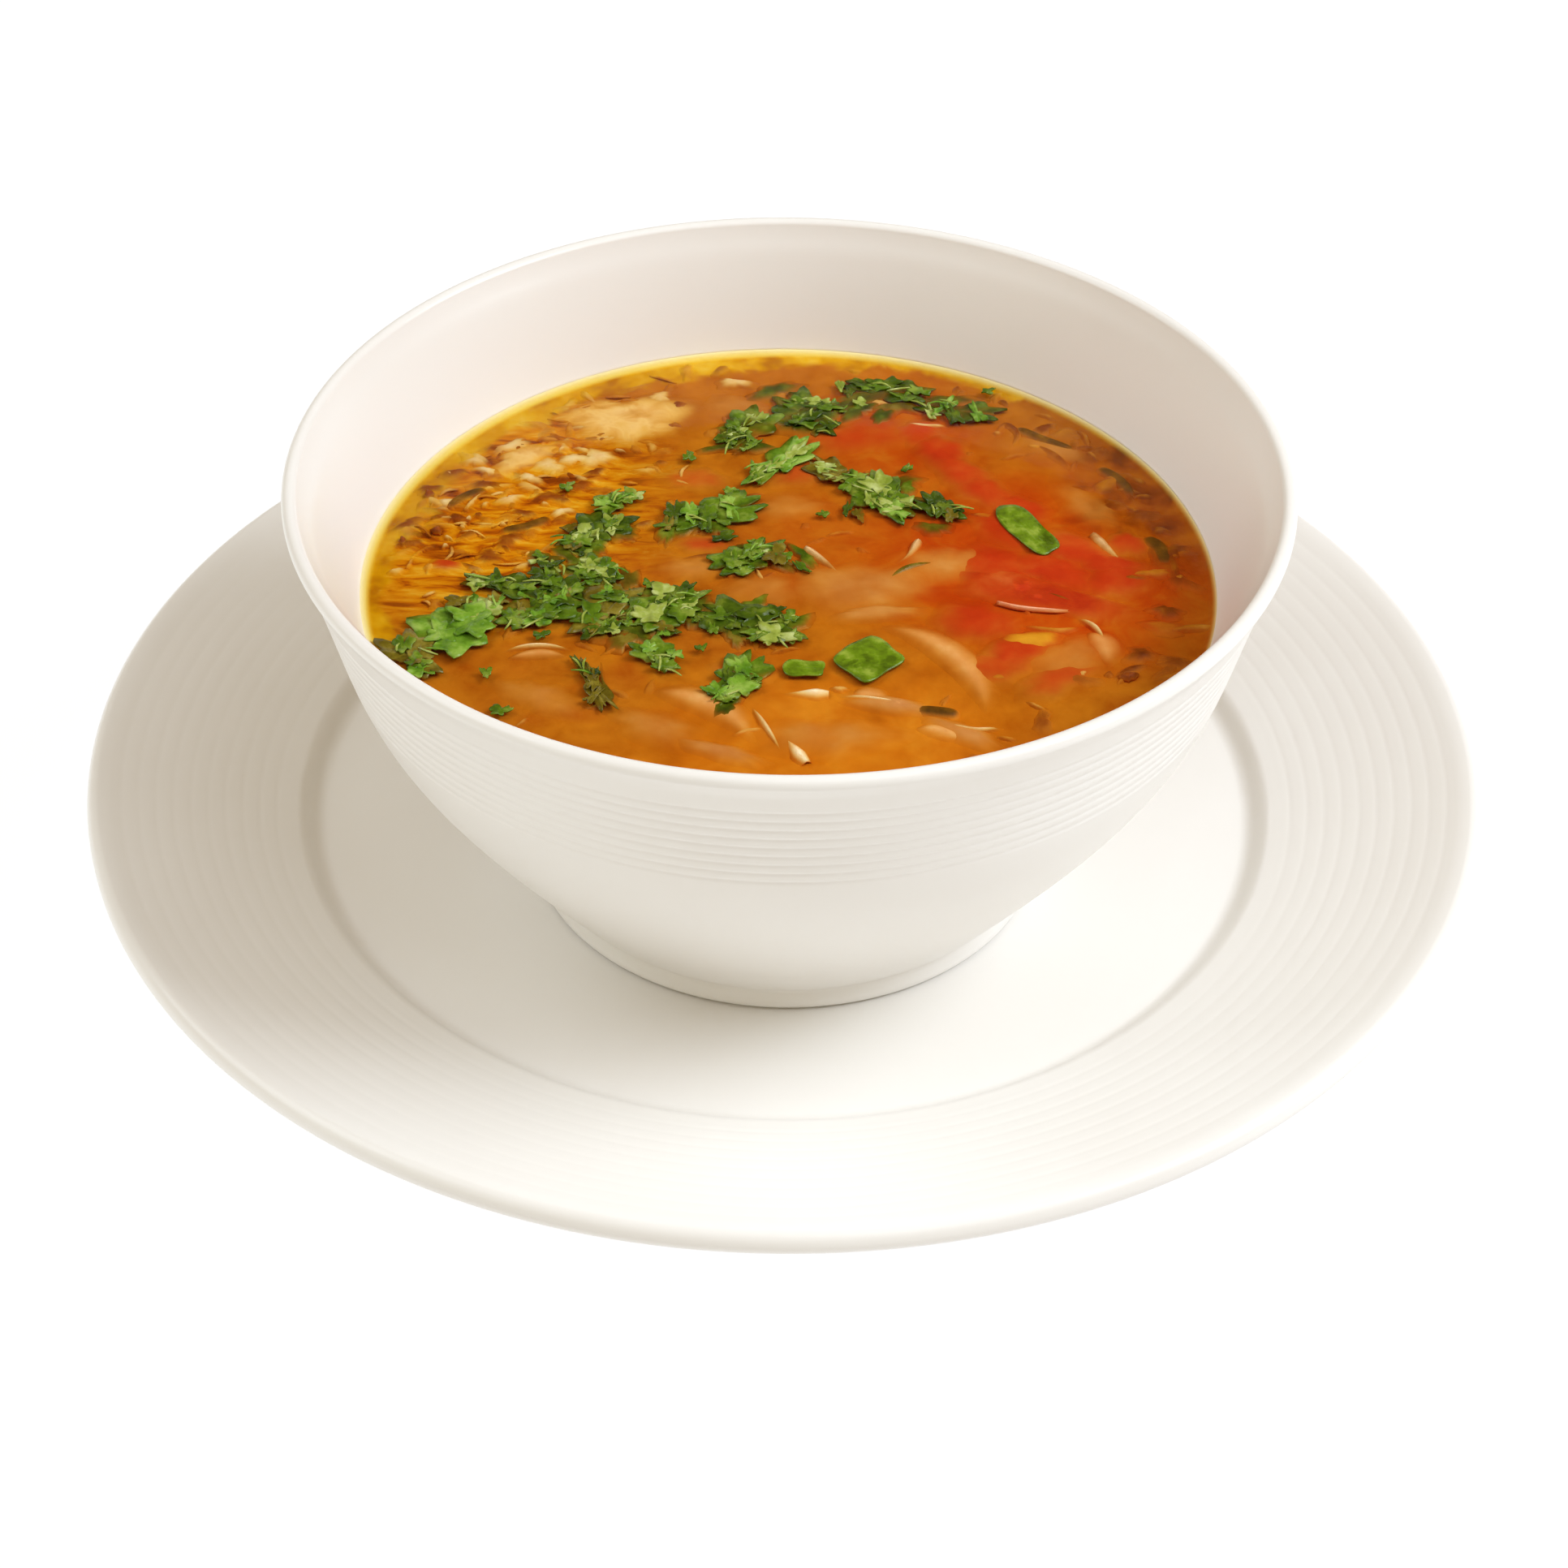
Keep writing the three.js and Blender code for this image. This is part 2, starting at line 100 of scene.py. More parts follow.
def add(tree, kind, settings=None, links=None, **values):
    """Adds a node: settings are its properties, links its linked inputs, values its unlinked ones."""
    node = tree.nodes.new(kind)
    for key, value in (settings or {}).items():
        setattr(node, key, value)
    for key, value in values.items():
        node.inputs[key.replace("_", " ")].default_value = value
    for key, socket in (links or {}).items():
        tree.links.new(socket, node.inputs[key])
    return node


def new_material(name):
    material = bpy.data.materials.new(name)
    material.use_nodes = True
    tree = material.node_tree
    tree.nodes.clear()
    return material, tree


def colour_steps(tree, source, steps):
    """Colours spread over a factor: steps are (position, hex colour)."""
    ramp = add(tree, "ShaderNodeValToRGB", links={"Fac": source})
    stops = ramp.color_ramp.elements
    while len(stops) < len(steps):
        stops.new(0.5)
    for stop, (position, colour) in zip(stops, steps):
        stop.position = position
        stop.color = linear(colour)
    return ramp.outputs["Color"]


def per_metre(size_mm):
    """Scale of a procedural pattern whose features are this many millimetres across."""
    return 1 / (size_mm * MM)


def place(tree):
    return add(tree, "ShaderNodeTexCoord").outputs["Object"]


def speckle(tree, size_mm, detail=3, roughness=0.55, distortion=0.0):
    texture = add(tree, "ShaderNodeTexNoise", links={"Vector": place(tree)}, Scale=per_metre(size_mm),
                  Detail=detail, Roughness=roughness, Distortion=distortion)
    return texture.outputs["Fac"]


def relief(tree, source, height_mm, strength=1.0):
    bump = add(tree, "ShaderNodeBump", links={"Height": source}, Strength=strength, Distance=height_mm * MM)
    return bump.outputs["Normal"]


def blended(tree, share, first, second):
    """first where the share is 0 and second where it is 1; the share is a number or a socket."""
    node = add(tree, "ShaderNodeMix", {"data_type": "RGBA"}, {6: first, 7: second})
    if isinstance(share, float):
        node.inputs[0].default_value = share
    else:
        tree.links.new(share, node.inputs[0])
    return node.outputs[2]


def finish_surface(tree, shader, volume=None):
    out = add(tree, "ShaderNodeOutputMaterial", links={"Surface": shader})
    if volume:
        tree.links.new(volume, out.inputs["Volume"])


def principled(tree, links, **values):
    return add(tree, "ShaderNodeBsdfPrincipled", links=links, **values).outputs["BSDF"]


def glazed_porcelain():
    """Hard-paste porcelain dipped in clear glaze: warm white, glossy, with a faint orange peel."""
    material, tree = new_material("glazed_porcelain")
    tone = colour_steps(tree, speckle(tree, 60, detail=1), [(0.35, "#F1EEE9"), (0.65, "#F5F3EF")])
    peel = relief(tree, speckle(tree, 6, detail=2), 0.02, 0.35)
    links = {"Base Color": tone, "Normal": peel}
    shader = principled(tree, links, Roughness=0.28, IOR=1.5, Specular_IOR_Level=0.4)
    finish_surface(tree, shader)
    return material


def clear_broth():
    """Strained tomato and carrot broth: clear, its colour deepening from gold to orange with its depth."""
    material, tree = new_material("clear_broth")
    swell = relief(tree, speckle(tree, 14, detail=2), 0.25, 0.35)
    see_through = add(tree, "ShaderNodeBsdfTransparent").outputs["BSDF"]
    gloss = add(tree, "ShaderNodeBsdfGlossy", links={"Normal": swell}, Roughness=0.08).outputs["BSDF"]
    shine = add(tree, "ShaderNodeFresnel", links={"Normal": swell}, IOR=1.2).outputs["Fac"]
    surface = add(tree, "ShaderNodeMixShader", links={0: shine, 1: see_through, 2: gloss}).outputs["Shader"]
    colour = [0.988, 0.89, 0.04, 1]
    depth = add(tree, "ShaderNodeVolumeAbsorption", Color=colour, Density=770).outputs["Volume"]
    finish_surface(tree, surface, depth)
    return material


def streaks(tree, length_mm, width_mm, turn):
    """Noise drawn out along one direction, as thin shreds that lie side by side."""
    laid = add(tree, "ShaderNodeMapping", links={"Vector": place(tree)}, Scale=(1, length_mm / width_mm, 1),
               Rotation=(0, 0, math.radians(-turn))).outputs["Vector"]
    texture = add(tree, "ShaderNodeTexNoise", links={"Vector": laid}, Scale=per_metre(length_mm), Detail=4,
                  Roughness=0.6, Distortion=0.6)
    return texture.outputs["Fac"]


def distance_from(tree, x_mm, y_mm):
    """Level distance in metres of the shaded point from a point off the bowl's axis."""
    off = add(tree, "ShaderNodeVectorMath", {"operation": "MULTIPLY_ADD"}, {0: place(tree)})
    off.inputs[1].default_value = (1, 1, 0)
    off.inputs[2].default_value = (-BOWL_FOOT.x - x_mm * MM, -BOWL_FOOT.y - y_mm * MM, 0)
    length = add(tree, "ShaderNodeVectorMath", {"operation": "LENGTH"}, {0: off.outputs["Vector"]})
    return length.outputs["Value"]


# Tones of the pulp: size of their patches in millimetres, detail and distortion of the noise, colours.
PULP_TONES = {
    "wide": (22, 2, 0.4, [(0.36, "#B85C20"), (0.46, "#BE702A"), (0.56, "#CE8236"), (0.64, "#B8561E")]),
    "fine": (5, 5, 0.3, [(0.3, "#A85C1A"), (0.65, "#D6934A")]),
    "light": (12, 3, 0.4, [(0.34, "#BE6C22"), (0.5, "#D88636"), (0.64, "#E69E52")]),
    "red": (8, 3, 0.5, [(0.35, "#C23A12"), (0.5, "#CC5420"), (0.65, "#D4743A")]),
    "brown": (7, 4, 0.4, [(0.34, "#7A3806"), (0.48, "#B05C10"), (0.64, "#CC7C24")]),
    "oil": (9, 3, 0.0, [(0.36, "#C08410"), (0.47, "#DEAE18"), (0.58, "#ECC848"), (0.7, "#F4DC90")]),
}
# Grated carrot just under the surface: length, width and turn of its shreds, and its colours.
SHREDS = (8, 2.4, 12)
SHRED_COLOURS = [(0.34, "#8C4004"), (0.42, "#C06A08"), (0.5, "#DC9414"), (0.58, "#E8AC34"), (0.68, "#F4CE80")]
# Where a tone rules: its middle in the bowl, how far out it is full, how far it reaches, and its share.
PULP_ZONES = [
    ("light", 8, -50, 18, 40, 0.8), ("red", 12, 10, 8, 30, 0.4), ("red", 44, 4, 16, 38, 0.9),
    ("red", 18, 42, 6, 22, 0.7), ("brown", 68, 26, 12, 30, 0.9), ("shreds", -58, 22, 22, 48, 1),
]
# The oil by the wall lies outside circles off the bowl's middle: where each begins and where it is full. The
# golden ring's inner edge is ragged, and it is widest at the back left.
GOLD_RING = (5.0, -4.5)
GOLD_BEGINS, GOLD_FULL = 76.2, 79.4
GOLD_RAGGED = 16
FRONT_OIL = (0, 9)
FRONT_BEGINS, FRONT_FULL = 72.4, 77.4
# The pale rim right at the wall: partly the white porcelain under a thin film of broth, partly painted light
# through the broth's thin edge.
SHORE = (0.5, -0.5)
SHORE_BEGINS, SHORE_FULL = 67.9, 69.1


def pulp(tree):
    """Colour of the fine pulp that clouds the broth: orange, redder by the tomato, golden by the carrot, dark
    and brown at the right, and yellow with oil by the wall. Right at the wall it turns pale, nearly white:
    partly the white porcelain under the broth's thin edge, partly painted light coming through that edge."""
    tones = {name: colour_steps(tree, speckle(tree, size, detail, distortion=distortion), steps)
             for name, (size, detail, distortion, steps) in PULP_TONES.items()}
    tones["shreds"] = colour_steps(tree, streaks(tree, *SHREDS), SHRED_COLOURS)
    tone = blended(tree, 0.5, tones["wide"], tones["fine"])
    for name, x, y, full, end, share in PULP_ZONES:
        there = span(tree, distance_from(tree, x, y), full * MM, end * MM, share, 0)
        tone = blended(tree, there, tone, tones[name])
    front = span(tree, distance_from(tree, *FRONT_OIL), FRONT_BEGINS * MM, FRONT_FULL * MM, 0, 0.6)
    tone = blended(tree, front, tone, tones["oil"])
    rough_edge = speckle(tree, 13, detail=5, distortion=0.6)
    ragged = add(tree, "ShaderNodeMath", {"operation": "MULTIPLY_ADD"}, {0: rough_edge})
    ragged.inputs[1].default_value = GOLD_RAGGED * MM
    tree.links.new(distance_from(tree, *GOLD_RING), ragged.inputs[2])
    by_wall = span(tree, ragged.outputs["Value"], GOLD_BEGINS * MM, GOLD_FULL * MM)
    tone = blended(tree, by_wall, tone, tones["oil"])
    # pale rim at the wall: partly the white porcelain, partly painted light through the broth's edge
    shore = span(tree, distance_from(tree, *SHORE), SHORE_BEGINS * MM, SHORE_FULL * MM)
    return blended(tree, shore, tone, colour_steps(tree, shore, [(0, "#FFE48C"), (1, "#FFF8E4")]))


def span(tree, source, low, high, at_low=0, at_high=1):
    """A smooth change of a factor from one value to another while the source goes from low to high."""
    node = add(tree, "ShaderNodeMapRange", {"interpolation_type": "SMOOTHSTEP"}, {"Value": source})
    for name, value in zip(("From Min", "From Max", "To Min", "To Max"), (low, high, at_low, at_high)):
        node.inputs[name].default_value = value
    return node.outputs["Result"]


def seen_through_pulp(tree, tone):
    """A sunk piece's colour, lost in the colour of the pulp as it goes deeper."""
    height = add(tree, "ShaderNodeSeparateXYZ", links={"Vector": place(tree)}).outputs["Z"]
    clear = span(tree, height, LEVEL - HIDDEN_DEPTH * MM, LEVEL - CLEAR_DEPTH * MM)
    return blended(tree, clear, pulp(tree), tone)


def cooked_pulp():
    """Sieved, softened vegetables that cloud the broth from a millimetre down: orange, with no gloss."""
    material, tree = new_material("vegetable_pulp")
    rough = relief(tree, speckle(tree, 4), 0.4)
    links = {"Base Color": pulp(tree), "Normal": rough}
    finish_surface(tree, principled(tree, links, Roughness=0.7, Specular_IOR_Level=0.1))
    return material


def sunk_material(name, grain_mm, steps, stretch=0.0):
    """A cooked piece lying in the broth, its colour in patches of a grain's size, fading into the pulp."""
    material, tree = new_material(name)
    tone = colour_steps(tree, speckle(tree, grain_mm, detail=3, distortion=stretch), steps)
    rough = relief(tree, speckle(tree, grain_mm / 3), 0.15)
    links = {"Base Color": seen_through_pulp(tree, tone), "Normal": rough}
    shader = principled(tree, links, Roughness=0.5, Specular_IOR_Level=0.15)
    finish_surface(tree, shader)
    return material


def leaf_material(name, dark, light, rib, clear=0.2):
    """Fresh herb leaf, wet with broth: darker in the folds, with fine veins and small sharp highlights. Its
    palest tone, in random patches, is partly pale veins and partly painted highlight.
    """
    material, tree = new_material(name)
    # the rib colour is partly the pale veins and partly painted highlight: light strokes where the wet leaves
    # catch the lamp
    tone = colour_steps(tree, speckle(tree, 3.0, detail=3), [(0.34, dark), (0.52, light), (0.68, rib)])
    tone = seen_through_pulp(tree, tone)
    veins = relief(tree, speckle(tree, 0.9, detail=2, distortion=0.8), 0.15, 0.6)
    links = {"Base Color": tone, "Normal": veins}
    front = principled(tree, links, Roughness=0.27, Specular_IOR_Level=0.28)
    glow = add(tree, "ShaderNodeBsdfTranslucent", links={"Color": tone, "Normal": veins}).outputs["BSDF"]
    mixed = add(tree, "ShaderNodeMixShader", links={1: front, 2: glow}, Fac=clear).outputs["Shader"]
    finish_surface(tree, mixed)
    return material


def wet_material(name, grain_mm, steps):
    """A cooked piece that stands out of the broth, shining with oil and water."""
    material, tree = new_material(name)
    tone = colour_steps(tree, speckle(tree, grain_mm, detail=3), steps)
    rough = relief(tree, speckle(tree, grain_mm / 3), 0.15)
    links = {"Base Color": seen_through_pulp(tree, tone), "Normal": rough}
    shader = principled(tree, links, Roughness=0.25, Subsurface_Weight=0.15,
                        Subsurface_Radius=(0.003, 0.0015, 0.0007), Subsurface_Scale=1.0)
    finish_surface(tree, shader)
    return material


def pale_floor():
    """Plain white sweep, lit evenly from within like a light table, so that shadows on it stay faint."""
    material, tree = new_material("white_light_table")
    matt = add(tree, "ShaderNodeBsdfDiffuse", Color=linear("#767676")).outputs["BSDF"]
    glow = add(tree, "ShaderNodeEmission", Color=linear("#FFFFFF"), Strength=0.88).outputs["Emission"]
    mixed = add(tree, "ShaderNodeAddShader", links={0: matt, 1: glow}).outputs["Shader"]
    finish_surface(tree, mixed)
    return material


# ------------------------------------------------------------------ mesh helpers
def new_object(name, vertices, faces, material, smooth=True):
    mesh = bpy.data.meshes.new(name)
    mesh.from_pydata([tuple(v) for v in vertices], [], faces)
    mesh.materials.append(material)
    mesh.polygons.foreach_set("use_smooth", [smooth] * len(mesh.polygons))
    mesh.update()
    piece = bpy.data.objects.new(name, mesh)
    bpy.context.scene.collection.objects.link(piece)
    return piece


def turned(name, profile, foot, material, sides=240):
    """A closed turned body round a foot point. Its profile, in millimetres, runs from axis to axis."""
    vertices, faces, rings = [], [], []
    for radius, height in profile:
        if radius < 1e-6:
            rings.append([len(vertices)])
            vertices.append(foot + Vector((0, 0, height)) * MM)
            continue
        rings.append(range(len(vertices), len(vertices) + sides))
        for k in range(sides):
            angle = 2 * math.pi * k / sides
            vertices.append(foot + Vector((radius * math.cos(angle), radius * math.sin(angle), height)) * MM)
    for low, high in zip(rings, rings[1:]):
        for k in range(sides):
            n = (k + 1) % sides
            if len(low) == 1:
                faces.append((low[0], high[n], high[k]))
            elif len(high) == 1:
                faces.append((low[k], low[n], high[0]))
            else:
                faces.append((low[k], low[n], high[n], high[k]))
    return new_object(name, vertices, faces, material)


def mix(a, b, share):
    return a + (b - a) * share


def arc(middle_r, middle_z, radius, start, end, steps):
    """Points of a round stretch of a profile, between two angles in degrees."""
    turns = [math.radians(mix(start, end, k / steps)) for k in range(steps + 1)]
    return [(middle_r + radius * math.cos(t), middle_z + radius * math.sin(t)) for t in turns]


def rounded(profile, radius, steps=4):
    """The profile with each inner corner turned into a small curve."""
    points = [Vector(p) for p in profile]
    out = [tuple(points[0])]
    for before, corner, after in zip(points, points[1:], points[2:]):
        reach_in = min(radius, (corner - before).length * 0.45)
        reach_out = min(radius, (after - corner).length * 0.45)
        start = corner + (before - corner).normalized() * reach_in
        end = corner + (after - corner).normalized() * reach_out
        for k in range(steps + 1):
            t = k / steps
            out.append(tuple(start * (1 - t) ** 2 + corner * 2 * t * (1 - t) + end * t * t))
    return out + [tuple(points[-1])]


RIB_STEPS = 8


def rib_relief(share, depth):
    """Depth of a rib's groove at a share of its pitch: a broad round top and a narrow groove."""
    return -depth * (1 - abs(math.sin(math.pi * share))) ** 1.6


# ------------------------------------------------------------------ plate
def rim_top(radius):
    edge_top = PLATE_EDGE_HEIGHT + PLATE_EDGE_ROUND - 0.1
    edge_start = PLATE_RADIUS - PLATE_EDGE_ROUND
    share = (radius - CREST_RADIUS) / (edge_start - CREST_RADIUS)
    return mix(CREST_HEIGHT + 0.5, edge_top, share)


def plate_profile():
    edge = PLATE_RADIUS - PLATE_EDGE_ROUND
    under_crest = CREST_RADIUS + PLATE_THICKNESS * 0.8
    below = [(0, PLATE_RECESS), (PLATE_FOOT_INNER - 1, PLATE_RECESS), (PLATE_FOOT_INNER, 0),
             (PLATE_FOOT_OUTER - 1, 0), (PLATE_FOOT_OUTER + 0.6, PLATE_RECESS),
             (WELL_RADIUS + 1, PLATE_RECESS + 0.3), (under_crest, CREST_HEIGHT - 4),
             (under_crest + 3, rim_top(under_crest + 3) - PLATE_THICKNESS),
             (edge - 1, PLATE_EDGE_HEIGHT - PLATE_EDGE_ROUND)]
    ribs = []
    start, pitch, count, depth = PLATE_RIBS.values()
    for k in range(count * RIB_STEPS, -1, -1):
        share = k / RIB_STEPS
        radius = start + share * pitch
        ribs.append((radius, rim_top(radius) + rib_relief(share + 0.5, depth)))
    well = [(CREST_RADIUS + 2.2, rim_top(CREST_RADIUS + 2.2)), (CREST_RADIUS, CREST_HEIGHT + 0.6),
            (WELL_RADIUS + 0.4, WELL_HEIGHT), (WELL_RADIUS - 8, WELL_HEIGHT), (0, WELL_HEIGHT)]
    edge_arc = arc(edge, PLATE_EDGE_HEIGHT, PLATE_EDGE_ROUND, -80, 90, 12)
    return rounded(below, 1.6) + edge_arc + ribs + rounded(well, 1.6, 6)


# ------------------------------------------------------------------ bowl
def body_curve(share):
    a, b, c, d = BODY_CURVE
    rest = 1 - share
    return a * rest ** 3 + b * 3 * rest ** 2 * share + c * 3 * rest * share ** 2 + d * share ** 3


def body_slope(share):
    a, b, c, d = BODY_CURVE
    rest = 1 - share
    return ((b - a) * rest ** 2 + (c - b) * 2 * rest * share + (d - c) * share ** 2).normalized()


def share_at(height_of, level):
    low, high = 0.0, 1.0
    for _ in range(40):
        half = (low + high) / 2
        low, high = (half, high) if height_of(half) < level else (low, half)
    return low


def outer_wall(level):
    return body_curve(share_at(lambda t: body_curve(t).y, level))


def inner_wall(share, inset=0.0):
    """Point of the inside wall; inset moves it further in, or into the porcelain where it is negative."""
    slope = body_slope(share)
    thickness = WALL_LOW - WALL_TAPER * share ** WALL_THINNING + inset
    return body_curve(share) + Vector((-slope.y, slope.x)) * thickness


def inner_outline(level, inset, steps):
    end = share_at(lambda t: inner_wall(t, inset).y, level)
    floor = BOWL_FLOOR + inset
    bend = [tuple(inner_wall(share, inset)) for share in FLOOR_BEND]
    low = rounded([(0, floor), (FLOOR_RADIUS, floor), *bend], 7, 8)
    shares = [mix(FLOOR_BEND[1], end, k / steps) for k in range(1, steps + 1)]
    return low + [tuple(inner_wall(share, inset)) for share in shares]


def bowl_profile():
    foot = rounded([(0, BOWL_RECESS), (FOOT_INNER - 1, BOWL_RECESS), (FOOT_INNER + 0.3, 0),
                    (FOOT_OUTER - 0.3, 0), (FOOT_OUTER, 1.6), (FOOT_OUTER - 0.9, 3.8), BODY_CURVE[0],
                    outer_wall(7.5)], 1.0)
    start, pitch, count, depth = BOWL_RIBS.values()
    body = [tuple(outer_wall(mix(8.5, start - 1, k / 24))) for k in range(25)]
    for k in range(count * RIB_STEPS + 1):
        share = k / RIB_STEPS
        wall = outer_wall(start + share * pitch)
        body.append((wall.x + rib_relief(share + 0.5, depth), wall.y))
    body += [tuple(outer_wall(level)) for level in (71.4, 72.6, 73.8)]
    lip = arc(LIP_RADIUS, LIP_HEIGHT, LIP_ROUND, -25, 172, 14)
    inside = inner_outline(LIP_HEIGHT - 2.2, 0, 30)
    return foot + body + lip + inside[::-1]


# ------------------------------------------------------------------ broth
EDGE_CLIMB = 0.2  # height of the liquid's curved edge against the wall
EDGE_WIDTH = 3.2  # how far in from the wall that curve is drawn
EDGE_FALL = 0.8  # over this width the curve loses two thirds of its height
INTO_WALL = -0.35  # how far the liquid reaches into the porcelain, so that no air gap shows
LEVEL = BOWL_FOOT.z + SOUP_LEVEL * MM
CLEAR_DEPTH = 0.05  # what lies no deeper than this shows its own colour
HIDDEN_DEPTH = 0.72  # and what lies deeper than this is lost in the pulp
PULP_DEPTH = 0.9
PULP_RADIUS = 69.4  # just into the wall
PULP_SHORE = 1.7  # over this width by the wall the pulp comes up to the surface


def broth_profile():
    outline = inner_outline(SOUP_LEVEL + EDGE_CLIMB, INTO_WALL, 20)
    wall = outline[-1][0]
    edge = []
    for k in range(1, 13):
        inward = EDGE_WIDTH * k / 12
        edge.append((wall - inward, SOUP_LEVEL + EDGE_CLIMB * math.exp(-inward / EDGE_FALL)))
    inner = [(radius, SOUP_LEVEL) for radius in (60, 45, 30, 15)]
    return outline + edge + inner + [(0, SOUP_LEVEL)]


def in_bowl(x, y, z=0.0):
    """A point from millimetres off the bowl's axis and above the broth's surface."""
    return Vector((BOWL_FOOT.x + x * MM, BOWL_FOOT.y + y * MM, LEVEL + z * MM))


def pulp_bed(material):
    """The cloudy part of the broth: a slightly uneven top a little below the surface, rising at the wall."""
    sides, rings = 150, 48
    heap = Heap("vegetable_pulp", [material])
    grid = []
    for i in range(1, rings + 1):
        share = math.sin(math.pi / 2 * i / rings) ** 0.9
        ring = []
        for k in range(sides):
            angle = 2 * math.pi * k / sides
            x, y = share * PULP_RADIUS * math.cos(angle), share * PULP_RADIUS * math.sin(angle)
            swell = 0.14 * noise.noise(Vector((x, y, 3)) / 13) + 0.08 * noise.noise(Vector((x, y, 9)) / 4)
            shore = soft(max(0, 1 - (1 - share) * PULP_RADIUS / PULP_SHORE))
            ring.append(in_bowl(x, y, (swell - PULP_DEPTH) * (1 - shore) - 0.1 * shore))
        grid.append(ring)
    heap.disc(in_bowl(0, 0, -PULP_DEPTH), grid, 0, thickness=0.4 * MM)
    return heap.build()


# ------------------------------------------------------------------ shapes of the garnish
class Heap:
    """Closed sheets, rods and leaves joined into one mesh, with a material slot for each kind."""

    def __init__(self, name, materials):
        self.name, self.materials = name, materials
        self.vertices, self.faces, self.slots = [], [], []

    def face(self, corners, slot):
        self.faces.append(corners)
        self.slots.append(slot)

    def band(self, low, high, count, slot):
        """Quads between two rings of points, given by the first index of each."""
        for k in range(count):
            n = (k + 1) % count
            self.face((low + k, low + n, high + n, high + k), slot)

    def disc(self, middle, rings, slot, thickness):
        """A closed sheet from a middle point and rings round it: top, underside and the rim between them."""
        count = len(rings[0])
        drop = Vector((0, 0, thickness))
        for shift in (Vector(), drop):
            base = len(self.vertices)
            self.vertices.append(middle - shift)
            for ring in rings:
                self.vertices += [p - shift for p in ring]
            for k in range(count):
                fan = (base, base + 1 + k, base + 1 + (k + 1) % count)
                self.face(fan, slot)
            for i in range(len(rings) - 1):
                self.band(base + 1 + i * count, base + 1 + (i + 1) * count, count, slot)
        under = 1 + len(rings) * count
        rim = base - under + 1 + (len(rings) - 1) * count
        self.band(rim, rim + under, count, slot)

    def ribbon(self, line, halves, crown, sink, slot, thickness, across=7, power=1.5, ends=6, peak=0.5,
               lean=0.0, ridge=0.0):
        """A strip along a line of points, domed across: highest at its peak's share, its edges and ends sunk.
        It may lean, its side towards the diner deeper, and have ridges along it."""
        count = len(line)
        rows = []
        for i, (p, half) in enumerate(zip(line, halves)):
            along = (line[min(i + 1, count - 1)] - line[max(i - 1, 0)]).normalized()
            side = Vector((-along.y, along.x, 0))
            end = (abs(i / (count - 1) - peak) / max(peak, 1 - peak)) ** ends
            row = []
            for j in range(across):
                v = 2 * j / (across - 1) - 1
                height = crown - (crown + sink) * soft(abs(v) ** power + end)
                height += ridge * math.cos(3 * math.pi * v) - lean * (1 - v * math.copysign(1, side.y)) / 2
                row.append(p + side * (v * half) + Vector((0, 0, height)))
            rows.append(row)
        base = len(self.vertices)
        for shift in (0, thickness):
            for row in rows:
                self.vertices += [p - Vector((0, 0, shift)) for p in row]
        under = count * across
        for start in (base, base + under):
            for i in range(count - 1):
                for j in range(across - 1):
                    a = start + i * across + j
                    self.face((a, a + 1, a + across + 1, a + across), slot)
        rim = [i * across for i in range(count)] + [(count - 1) * across + j for j in range(1, across)]
        rim += [i * across + across - 1 for i in range(count - 2, -1, -1)] + list(range(across - 2, 0, -1))
        for a, b in zip(rim, rim[1:] + rim[:1]):
            self.face((base + a, base + b, base + under + b, base + under + a), slot)

    def rod(self, points, width, thickness, slot, sides=6):
        """A closed rod of oval section through points, thinner at its ends."""
        base = len(self.vertices)
        count = len(points)
        for i, p in enumerate(points):
            along = (points[min(i + 1, count - 1)] - points[max(i - 1, 0)]).normalized()
            side = along.cross(Vector((0, 0, 1))).normalized()
            up = side.cross(along)
            taper = math.sin(math.pi * mix(0.13, 0.87, i / (count - 1))) ** 0.6
            for k in range(sides):
                angle = 2 * math.pi * k / sides
                ring = side * math.cos(angle) * width / 2 + up * math.sin(angle) * thickness / 2
                self.vertices.append(p + ring * taper)
        for i in range(count - 1):
            self.band(base + i * sides, base + (i + 1) * sides, sides, slot)
        self.face(tuple(base + k for k in reversed(range(sides))), slot)
        self.face(tuple(base + (count - 1) * sides + k for k in range(sides)), slot)

    def build(self):
        piece = new_object(self.name, self.vertices, self.faces, self.materials[0])
        for extra in self.materials[1:]:
            piece.data.materials.append(extra)
        piece.data.polygons.foreach_set("material_index", self.slots)
        builder = bmesh.new()
        builder.from_mesh(piece.data)
        bmesh.ops.recalc_face_normals(builder, faces=builder.faces)
        builder.to_mesh(piece.data)
        builder.free()
        return piece


def smooth_line(points, steps):
    """Points evenly spread along a smooth curve through a few given ones."""
    ends = [points[0] * 2 - points[1]] + list(points) + [points[-1] * 2 - points[-2]]
    out = []
    for k in range(steps + 1):
        at = k / steps * (len(points) - 1)
        i = min(int(at), len(points) - 2)
        t = at - i
        a, b, c, d = ends[i:i + 4]
        out.append((b * 2 + (c - a) * t + (a * 2 - b * 5 + c * 4 - d) * t ** 2
                    + (b * 3 - a - c * 3 + d) * t ** 3) / 2)
    return out


